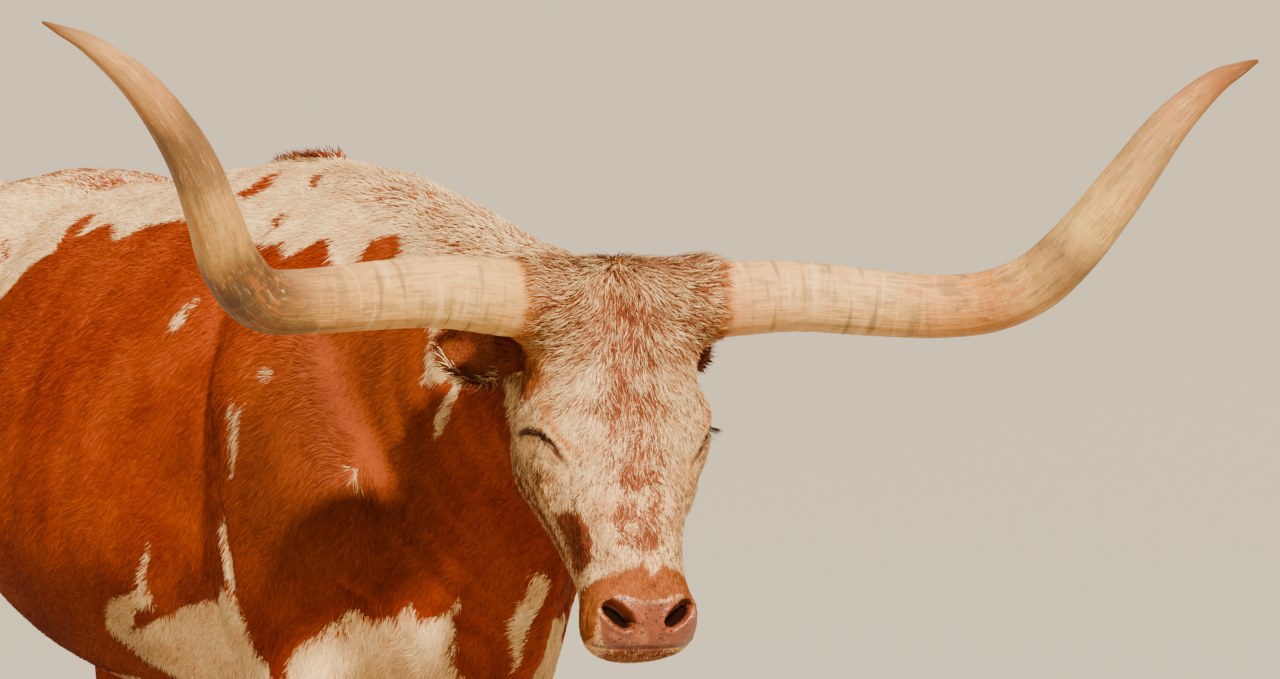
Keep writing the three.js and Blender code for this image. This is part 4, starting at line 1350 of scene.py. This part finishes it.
def horn_material(name, colours):
    s = Shader(name)
    place = s.attribute("place", vector=True)   # cos, sin, arc length in decimetres
    along = s.attribute("along")                # 0 at the root, 1 at the tip
    mottle = s.noise(s.scaled(place, (0.9, 0.9, 0.9)), 2.4, 6, 0.66)
    cloud = s.noise(s.scaled(place, (0.6, 0.6, 0.5)), 1.5, 3)
    fibre = s.noise(s.scaled(place, (9.0, 9.0, 0.45)), 3.6, 5, 0.7)
    streak = s.noise(s.scaled(place, (3.2, 3.2, 0.5)), 3.0, 5, 0.62)
    shifted = s.swayed(along, cloud, 0.10)
    shifted = s.swayed(shifted, streak, 0.035)
    colour = s.ramp(shifted, colours)
    # ochre and grey clouds with ragged lengthwise edges
    ochre = s.range(s.swayed(mottle, streak, 0.5), 0.5, 0.66)
    where = s.ramp(along, [(0.0, (0.45,) * 3), (0.3, (0.5,) * 3), (0.45, (0.85,) * 3),
                           (0.6, (0.5,) * 3), (0.8, (0.45,) * 3), (1.0, (0.3,) * 3)])
    colour = s.mix(s.times(ochre, s.times(where, 0.8)), colour, lin(176, 106, 36))
    grey = s.range(s.swayed(mottle, streak, -0.4), 0.5, 0.36)
    colour = s.mix(s.times(grey, s.times(where, 0.75)), colour, lin(104, 78, 52))
    chalk = s.range(s.noise(s.scaled(place, (1.6, 1.6, 1.1)), 3.2, 5, 0.7), 0.56, 0.7)
    colour = s.tinted(colour, chalk, 0.5, lin(240, 208, 146))
    colour = s.tinted(colour, s.range(fibre, 0.52, 0.74), 0.6, lin(118, 76, 36))
    colour = s.tinted(colour, s.range(fibre, 0.46, 0.26), 0.45, lin(244, 214, 156))
    # growth rings of the straight part
    ring = s.noise(s.scaled(place, (0.12, 0.12, 2.9)), 2.6, 2)
    ringed = s.ramp(along, [(0.0, (0.7,) * 3), (0.1, (1.0,) * 3), (0.32, (1.0,) * 3),
                            (0.42, (0.15,) * 3), (1.0, (0.0,) * 3)])
    dark_ring = s.times(s.range(ring, 0.55, 0.68), ringed)
    pale_ring = s.times(s.range(ring, 0.44, 0.34), ringed)
    colour = s.tinted(colour, dark_ring, 0.65, lin(140, 112, 78))
    colour = s.tinted(colour, pale_ring, 0.4, lin(244, 218, 168))
    # worn pits, and the soft horn at the root
    pits = s.range(s.cells(s.scaled(place, (1.0, 1.0, 0.8)), 6.0), 0.075, 0.03)
    colour = s.tinted(colour, pits, 0.5, lin(84, 50, 24))
    root = s.range(s.swayed(along, streak, 0.05), 0.075, 0.03)
    colour = s.tinted(colour, root, 0.7, lin(178, 98, 28))
    height = s.math("ADD", s.times(fibre, 0.6), s.times(ring, 0.7))
    height = s.math("ADD", height, s.times(streak, 0.5))
    height = s.math("SUBTRACT", height, s.times(pits, 0.4))
    s.bump(height, 0.8, 0.0025)
    colour = s.mix(0.35, colour, s.mix(1.0, colour, colour, "MULTIPLY"))
    colour = s.mix(1.0, colour, (1.0, 0.95, 0.76), "MULTIPLY")
    rough = s.range(mottle, 0.3, 0.8, 0.46, 0.66)
    s.set(Base_Color=colour, Roughness=rough, Specular_IOR_Level=0.25)
    return s.material


def hoof_material():
    s = Shader("hoof")
    place = s.attribute("place", vector=True)
    rings = s.noise(s.scaled(place, (0.15, 0.15, 3.0)), 3.2, 4)
    fibre = s.noise(s.scaled(place, (1.0, 1.0, 0.08)), 18.0, 3)
    colour = s.mix(s.range(rings, 0.35, 0.7), lin(84, 64, 48), lin(48, 36, 28))
    colour = s.tinted(colour, s.range(fibre, 0.5, 0.7), 0.5, lin(130, 112, 90))
    dust = s.noise(place, 2.2, 4)
    colour = s.tinted(colour, s.range(dust, 0.5, 0.75), 0.45, lin(176, 148, 112))
    s.bump(s.math("ADD", rings, s.times(fibre, 0.5)), 0.6, 0.0015)
    s.set(Base_Color=colour, Roughness=s.range(dust, 0.3, 0.8, 0.45, 0.75))
    return s.material


def eye_material():
    s = Shader("eye")
    place = s.attribute("place", vector=True)   # in eye radii, the pupil at +Y
    split = s.tree.nodes.new("ShaderNodeSeparateXYZ")
    s.link(place, split.inputs[0])
    x, y, z = split.outputs
    long = s.times(x, 0.62)
    away = s.math("SQRT", s.math("ADD", s.times(long, long), s.times(z, z)))
    hidden = s.range(y, 0.0, -0.2)
    iris_noise = s.noise(place, 9.0, 4)
    iris = s.mix(iris_noise, lin(58, 34, 20), lin(96, 58, 32))
    colour = s.mix(s.range(away, 0.20, 0.26), lin(12, 8, 8), iris)
    colour = s.mix(s.range(away, 0.50, 0.60), colour, lin(150, 116, 96))
    colour = s.mix(hidden, colour, lin(120, 80, 66))
    s.set(Base_Color=colour, Roughness=s.range(iris_noise, 0.0, 1.0, 0.06, 0.14),
          Coat_Weight=0.6, Coat_Roughness=0.04)
    return s.material


def lash_material():
    s = Shader("lashes")
    grain = s.noise(s.attribute("root", vector=True), 300, 2)
    s.set(Base_Color=s.mix(grain, lin(24, 13, 8), lin(66, 36, 20)), Roughness=0.8,
          Specular_IOR_Level=0.08)
    return s.material


# Building it all
skin_mat = coat_material("skin", False)
tuft_mat = coat_material("coat", True)


def finish_piece(name, me, material, replaced=()):
    me.materials.clear()
    me.materials.append(material)
    ob = object_from(name, me)
    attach(ob, "root")
    if replaced:
        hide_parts(*replaced)


def ear_rings(side, sides, steps):
    """Rings of an ear, a round root and then a cupped leaf laid back, and where each point is."""
    root = np.array([side * 108, -84, 102.0])
    back = unit(np.array([side * 0.34, -0.9, -0.3]))
    across = np.array([0, -0.35, 0.94])
    across = unit(across - (across @ back) * back)
    out = np.cross(across, back) * side
    if out[0] * side < 0:
        out = -out
    rows = [
        [0, 24, 20, 0], [0.12, 25, 19, 0], [0.24, 31, 19, 0.35], [0.4, 41, 20, 0.85],
        [0.58, EAR_HALF_WIDTH, 18, 1], [0.75, 40, 14, 1], [0.9, 25, 9, 0.9], [1.0, 7, 4, 0.4],
    ]
    t, half, deep, cup = along_rows(rows, steps).T[:, :, None]
    a = circle(sides)[None, :]
    lift = (deep - 1.5) * np.sin(a)
    lift = np.where(lift > 0, lift * (1 - cup * 1.6), lift)
    wide = (half - 2) * np.cos(a)
    centre = root + (t * (EAR_LENGTH - 4))[..., None] * back
    points = centre + wide[..., None] * across + lift[..., None] * out
    return on_head(points), np.sin(a) * np.ones_like(t), t * np.ones_like(a)


skin = build_skin()
skin_points = points_of(skin)

# the ears join the skin as leaves whose roots are sunk in the head
ear_parts, ear_inner, ear_along = [], [], []
for side in (-1, 1):
    rings, inner, t = ear_rings(side, 48, 8)
    ear_parts.append(loft(rings))
    ear_inner.append(np.concatenate([inner.ravel(), [0, 0]]))
    ear_along.append(np.concatenate([t.ravel(), [0, 1]]))
ears = mesh_from("ears", *put_together(ear_parts))
ear_points = points_of(ears)
inner = np.concatenate(ear_inner)
ear_t = np.concatenate(ear_along)


def ear_values(points, inner_side, t):
    noise = waves(points, 40, 51)
    red = np.clip(1.25 + 0.15 * noise - 0.3 * inner_side, 0, 1.3)
    return {
        "marks": np.full(len(points), -40.0),
        "red_share": red,
        "on_face": np.full(len(points), 0.6),
        # dark: partly the ears' own brown, partly painted shade, as they lie in the horn's shadow;
        # the back darkest, the inside darker towards the root
        "dark": np.clip(0.5 * (1 - inner_side) + 0.5 * inner_side * (1 - t) + 0.15 * noise, 0, 1),
        "orange": np.clip(0.5 + 0.3 * noise, 0, 1) * (0.2 + 0.2 * t),
        "bare": 0.35 * inner_side * step(0.95, 0.5, t),
    }


def put_values(me, points, values):
    store(me, "root", metres(points))
    for key, value in values.items():
        store(me, key, value)


def joined(name, meshes):
    obs = [object_from(f"{name}{i}", me) for i, me in enumerate(meshes)]
    with bpy.context.temp_override(active_object=obs[0], selected_editable_objects=obs):
        bpy.ops.object.join()
    me = obs[0].data
    bpy.data.objects.remove(obs[0])
    return me


put_values(skin, skin_points, coat_values(skin_points))
put_values(ears, ear_points, ear_values(ear_points, np.clip(inner, 0, 1), ear_t))

# tufts over the whole skin
share = 1.0
roots, normals = scatter(skin, 61, share)
flow = coat_flow(roots, normals)
length, width, lift, _ = coat_size(roots)
values = coat_values(roots)
blade_points, rand = tufts(roots, normals, flow, length, width, lift, 62)
# nothing of the coat reaches the ground
blade_points[..., 2] = np.maximum(blade_points[..., 2], LOWEST_HAIR)
values["root"] = metres(roots)
values["rand"] = rand

face = head_share(roots) > 0.5
front_of_face = from_head(roots)[:, 1] > FACE_FRONT
body = ~face & (leg_share(roots) <= 0.5)
legs = ~face & ~body
x, y, z = roots.T
behind, rear = y >= NECK_END, y >= SHOULDER_END
REGIONS = {
    "coat_face": face & front_of_face,
    "coat_cheeks": face & ~front_of_face,
    "coat_neck": ~face & ~behind,
    "coat_shoulder_right": body & behind & ~rear & (x < 0),
    "coat_shoulder_left": body & behind & ~rear & (x >= 0),
    "coat_rear_right": body & rear & (x < 0),
    "coat_rear_left": body & rear & (x >= 0),
    "coat_forelegs": legs & behind & (y < LEGS_PARTED),
    "coat_hindlegs": legs & (y >= LEGS_PARTED),
}
# one piece of coat for each region, its tufts in order of height
for name, inside in REGIONS.items():
    on_head_part = name in ("coat_face", "coat_cheeks")
    chosen = np.where(inside)[0]
    chosen = chosen[np.argsort(roots[chosen, 2])]
    own = {key: value[chosen] for key, value in values.items()}
    place = unwrap(roots[chosen], "head" if on_head_part else "body")
    me = blades_mesh(name, blade_points[chosen], own, place)
    finish_piece(name, me, tuft_mat)

# hair of the ears: along to the tip, long at the edges and inside
ear_roots, ear_normals = scatter(ears, 71, 2.2 * share)
nearest = np.array([np.argmin(((ear_points - p) ** 2).sum(1)) for p in ear_roots])
h = from_head(ear_roots)
side = np.sign(h[:, 0])
ear_flow = np.stack([side * 0.34, np.full(len(h), -0.9), np.full(len(h), -0.3)], -1) @ HEAD_AXES.T
ear_flow = unit(ear_flow - ear_normals * (ear_flow * ear_normals).sum(1)[:, None])
inside = np.clip(inner[nearest], 0, 1)
edge = 1 - np.abs(inner[nearest])
t = ear_t[nearest]
ear_length = 16 + 22 * edge * step(0.1, 0.4, t) + 14 * inside
ear_lift = 0.22 + 0.28 * inside + 0.2 * edge
ear_blades, ear_rand = tufts(ear_roots, ear_normals, ear_flow, ear_length,
                             np.full(len(h), 1.5), ear_lift, 72)
ear_vals = ear_values(ear_roots, inside, t)
# a pale fringe along the lower edge
low_edge = step(0.55, 0.9, edge) * step(-20, 10, h[:, 2] - np.interp(t, [0, 1], [112, 70]))
fringe = low_edge * (waves(ear_roots, 14, 75) > -0.5)
ear_vals["red_share"] = blend(ear_vals["red_share"], 0.1, fringe)
ear_vals["dark"] = ear_vals["dark"] * (1 - fringe)
ear_vals["orange"] = ear_vals["orange"] * (1 - 0.8 * fringe)
ear_vals["root"] = metres(ear_roots)
ear_vals["rand"] = ear_rand
finish_piece("coat_ears", blades_mesh("coat_ears", ear_blades, ear_vals, unwrap(ear_roots, "head")),
             tuft_mat)

# the skin itself
me = joined("skin_part", [skin, ears])
set_points(me, metres(points_of(me)))
me.shade_smooth()
flesh = ["torso", "neck", "head", "tail", "ear_right", "ear_left"] + [name for name, *_ in LEGS]
finish_piece("skin", me, skin_mat, flesh)


# horns
def make_horn(side, name, material):
    rows = [[side * out, forward, HORN_ROOT_DOWN - (rise_right if side < 0 else rise_left),
             (right if side < 0 else left) * HORN_BASE_RADIUS]
            for out, forward, rise_right, rise_left, right, left in HORN_ROWS]
    placed = np.array(rows, float)
    placed[:, :3] = on_head(placed[:, :3])
    rings, lengths = tube_rings(placed, 64, 12)
    t = lengths / lengths[-1]
    a = circle(64)
    cylinder = np.stack(np.broadcast_arrays(
        np.cos(a)[None, :], np.sin(a)[None, :], lengths[:, None] / 100), -1)
    centre = rings.mean(1, keepdims=True)
    flat = cylinder.reshape(-1, 3)
    uneven = (0.010 * waves(flat, 3.0, 81) + 0.006 * waves(flat * [1, 1, 0.3], 0.9, 82))
    ringing = 0.006 * np.sin(flat[:, 2] * 24 + 1.5 * waves(flat, 2.0, 83))
    ringing *= step(0.42, 0.05, np.repeat(t, 64))
    grow = (1 + uneven + ringing).reshape(rings.shape[:2])[..., None]
    points, quads, tris = loft(centre + (rings - centre) * grow)
    me = mesh_from(name, metres(points), quads, tris)
    store(me, "place", np.vstack([flat, [[0, 0, 0], [0, 0, lengths[-1] / 100]]]))
    store(me, "along", np.concatenate([np.repeat(t, 64), [0, 1]]))
    finish_piece(name + "_surface", me, material, [name])


make_horn(-1, "horn_right", horn_material("horn right", RIGHT_HORN))
make_horn(1, "horn_left", horn_material("horn left", LEFT_HORN))


# hooves: the wall with its rings and the cleft between the claws
def make_hoof(name, side, rows, stride):
    _, x, y, across, along = rows[-1]
    shift = y + stride_at(stride, HOOF_HEIGHT)
    sections = [
        [HOOF_HEIGHT - GAP, 0, across + 1, along + 1],
        [52, -7, across + 5, along + 6],
        [26, -15, across + 9, along + 11],
        [4, -TOE_FORWARD, across + 11, along + 14],
        [0, -TOE_FORWARD, across + 9, along + 12],
    ]
    upper = along_rows(sections[:4], 8)
    z, forward, half, long = np.vstack([upper, sections[4]]).T[:, :, None]
    a = circle(64)[None, :]
    ripple = 1 + 0.006 * np.sin(z / 3.4 + 0.6 * np.cos(a))
    px = side * x + half * ripple * wave(np.cos(a), 0.85)
    py = shift + forward + long * ripple * wave(np.sin(a), 0.9)
    points = np.stack([px, py, z + 0 * a], -1)
    ob = object_from("hoof_work", mesh_from("hoof_work", *loft(points)))
    toe = shift - TOE_FORWARD - along - 20
    corners = [(-7, toe), (7, toe), (1.5, toe + 1.7 * along), (-1.5, toe + 1.7 * along)]
    wedge = np.array([[(side * x + cx, cy, cz) for cx, cy in corners]
                      for cz in (-5, HOOF_HEIGHT - 10)])
    cutter = object_from("hoof_cut", mesh_from("hoof_cut", *loft(wedge)))
    cut = ob.modifiers.new("cleft", "BOOLEAN")
    cut.operation, cut.object, cut.solver = "DIFFERENCE", cutter, "EXACT"
    me = evaluated(ob)
    bpy.data.objects.remove(ob)
    bpy.data.objects.remove(cutter)
    points = points_of(me)
    local = points - [side * x, shift, 0]
    set_points(me, metres(points))
    me.shade_smooth()
    me.set_sharp_from_angle(angle=math.radians(40))
    me.name = name
    store(me, "place", local / 40)
    finish_piece(name + "_wall", me, hoof_mat, [name])


def make_dewclaw(name, side, rows, stride, inner):
    fetlock = rows[-3]
    shift = fetlock[2] + stride_at(stride, fetlock[0])
    x = side * LEG_LINE + inner * DEWCLAW_SPREAD
    placed = np.array([
        [x, shift + 22, fetlock[0] - 6, 12],
        [x, shift + 40, fetlock[0] - 16, 12],
        [x + inner, shift + 50, fetlock[0] - 28, 9],
        [x + inner, shift + 53, fetlock[0] - 36, 4],
    ], float)
    points, quads, tris = loft(tube_rings(placed, 24, 6)[0])
    me = mesh_from(name, metres(points), quads, tris)
    store(me, "place", (points - placed[0, :3]) / 20)
    finish_piece(name + "_surface", me, hoof_mat, [name])


hoof_mat = hoof_material()
for name, side, rows, stride in LEGS:
    make_hoof("hoof_" + name, side, rows, stride)
    for inner_side in (-1, 1):
        where = "outer" if inner_side * side > 0 else "inner"
        make_dewclaw(f"dewclaw_{name}_{where}", side, rows, stride, inner_side)


# eyes: dark balls that show through the narrow slits
eye_mat = eye_material()
for side, name in ((-1, "right"), (1, "left")):
    middle = EYE * [side, 1, 1]
    out = unit(np.array([side * 0.72, 0.66, -0.2]))
    slit = unit(np.array([-side * 0.33, 0.69, 0.64]))
    slit = unit(slit - (slit @ out) * out)
    third = np.cross(slit, out)
    u, v = np.meshgrid(np.linspace(0.02, np.pi - 0.02, 40), circle(48), indexing="ij")
    raw = np.stack([np.sin(u) * np.cos(v), np.cos(u), np.sin(u) * np.sin(v)], -1)
    axes = np.stack([slit, out, third])
    points, quads, tris = loft(on_head(middle + (raw @ axes) * (EYE_RADIUS + 1.5)))
    me = mesh_from("eyeball_" + name, metres(points), quads, tris)
    store(me, "place", np.vstack([raw.reshape(-1, 3), [[0, 1, 0], [0, -1, 0]]]))
    finish_piece("eyeball_" + name, me, eye_mat, ["eye_" + name])

# eyelashes along the upper lid
lash_points, lash_roots = [], []
for side in (-1, 1):
    n = LASHES
    t = rng.uniform(0.05, 0.72, n)
    line = along_rows(np.array(EYE_SLIT, float) * [side, 1, 1], 8)
    at = between(line, t * (len(line) - 1))
    centre = EYE * [side, 1, 1]
    out = unit(at - centre)
    start = at + out * 0.5 + np.array([0, 1.5, -2.2])
    heading = unit(out * 0.75 + np.array([side * 0.25, -0.15, 0.75]) + rng.normal(0, 0.16, (n, 3)))
    long = rng.uniform(11, 20, n)[:, None]
    edge = unit(np.cross(heading, rng.normal(size=(n, 3)))) * 0.35
    sag = np.array([0, 0, 1.0]) * long * 0.12
    middle = start + heading * long * 0.55 + sag * 0.3
    pts = np.stack([start - edge, start + edge, middle + edge * 0.7, middle - edge * 0.7,
                    start + heading * long + sag * 0.2], 1)
    lash_points.append(on_head(pts.reshape(-1, 3)).reshape(pts.shape))
    lash_roots.append(on_head(start))
lash_points, lash_roots = np.concatenate(lash_points), np.concatenate(lash_roots)
me = blades_mesh("eyelashes", lash_points, {"root": metres(lash_roots)}, unwrap(lash_roots, "head"))
finish_piece("eyelashes", me, lash_material())

# the tail's switch: long locks of fine hair
n = SWITCH_HAIRS
start_z = rng.uniform(400, 640, n)
turn = rng.uniform(0, 2 * np.pi, n)
around = np.stack([np.cos(turn), np.sin(turn), 0 * turn], -1)
root = np.stack([5 + 0 * turn, 1269 + 0 * turn, start_z], -1)
root = root + around * rng.uniform(4, 13, n)[:, None]
clump = np.round(turn / (2 * np.pi) * 16) / 16 * 2 * np.pi
pull = np.stack([np.cos(clump), np.sin(clump), 0 * turn], -1)
tip_z = 232 + 60 * rng.random(n) + (start_z - 400) * 0.25
swell = rng.uniform(10, 26, n)[:, None]
steps = []
for f, push in ((0, 0.0), (0.35, 0.9), (0.7, 1.0), (1.0, 0.55)):
    p = root + pull * swell * push * 0.75 + around * 4 * push
    p[:, 2] = root[:, 2] + (tip_z - root[:, 2]) * f
    p[:, 0] += 4 * np.sin(f * 5 + clump * 3)
    steps.append(p)
across = np.stack([-np.sin(turn), np.cos(turn), 0 * turn], -1)
parts = []
for a, b, wa, wb in zip(steps[:-1], steps[1:], (0.9, 1.3, 1.1), (1.3, 1.1, 0.15)):
    mid = (a + b) / 2
    parts.append(np.stack([a - across * wa, a + across * wa, mid + across * (wa + wb) / 2,
                           mid - across * (wa + wb) / 2, b], 1))
switch_points = np.concatenate(parts)
switch_roots = np.concatenate([root] * 3)
switch_values = {
    "root": metres(switch_roots), "rand": np.tile(rng.random(n), 3),
    "marks": np.full(3 * n, -40.0), "on_face": np.zeros(3 * n),
    "red_share": np.clip(0.25 + 0.5 * step(520, 640, switch_roots[:, 2]), 0, 1),
    "dark": np.full(3 * n, 0.05), "orange": np.full(3 * n, 0.15), "bare": np.zeros(3 * n),
}
me = blades_mesh("switch_hair", switch_points, switch_values, unwrap(switch_roots, "body"))
finish_piece("switch_hair", me, tuft_mat, ["tail_switch"])


# Floor and light
FLOOR = lin(176, 164, 146)
FLOOR_SIZE = 800
WORLD_STRENGTH = 0.26
SUN_ENERGY, SUN_ANGLE = 11.8, 4
CAMERA_TURN, CAMERA_DOWN = 33.137, 4.113
CAMERA_PLACE = [-4080.1, -6897.75, 1640.3]
CAMERA_LENS = 168.75
LIT_PLACE = [-60.0, -500.0, 1050.0]

ground = Shader("floor")
darker = tuple(c * 0.96 for c in FLOOR)
ground.set(Base_Color=ground.mix(ground.noise(None, 60, 3), darker, FLOOR), Roughness=0.9)
bpy.ops.mesh.primitive_plane_add(size=FLOOR_SIZE, location=(0, 0, -0.002))
floor = bpy.context.object
floor.name = "floor"
floor.data.materials.append(ground.material)

world = bpy.data.worlds.new("studio")
world.use_nodes = True
background = world.node_tree.nodes["Background"].inputs
background[0].default_value = (*lin(240, 232, 220), 1)
background[1].default_value = WORLD_STRENGTH
bpy.context.scene.world = world

turn, down = math.radians(CAMERA_TURN), math.radians(CAMERA_DOWN)
ahead = Vector((math.sin(turn) * math.cos(down), math.cos(turn) * math.cos(down), -math.sin(down)))
right = Vector((math.cos(turn), -math.sin(turn), 0))
target = Vector(metres(LIT_PLACE).tolist())


def light(name, kind, direction, energy, colour, distance=0.0):
    """A light that shines on the head from a direction."""
    data = bpy.data.lights.new(name, kind)
    data.energy, data.color = energy, colour
    ob = object_from(name, data)
    if distance:
        ob.location = target + direction.normalized() * distance
    ob.rotation_euler = (-direction).to_track_quat("-Z", "Y").to_euler()
    return data


key_from = right * 0.30 - ahead * 0.90 + Vector((0, 0, 0.80))
fill_from = -right * 1.0 + ahead * 0.1 + Vector((0, 0, 0.35))
rim_from = right * 0.1 + ahead * 0.8 + Vector((0, 0, 0.9))
light("key", "SUN", key_from, SUN_ENERGY, (1.0, 0.92, 0.78)).angle = math.radians(SUN_ANGLE)
light("fill", "AREA", fill_from, 60, (1.0, 0.96, 0.9), 6.0).size = 4.0
light("rim", "AREA", rim_from, 90, (1.0, 0.95, 0.88), 6.0).size = 3.0

# Camera, where the photographer stood
camera = bpy.data.cameras.new("camera")
camera.lens = CAMERA_LENS
camera.sensor_width = 36
camera.clip_end = 200
view = object_from("camera", camera)
view.location = Vector(metres(CAMERA_PLACE).tolist())
view.rotation_euler = ahead.to_track_quat("-Z", "Y").to_euler()
bpy.context.scene.camera = view
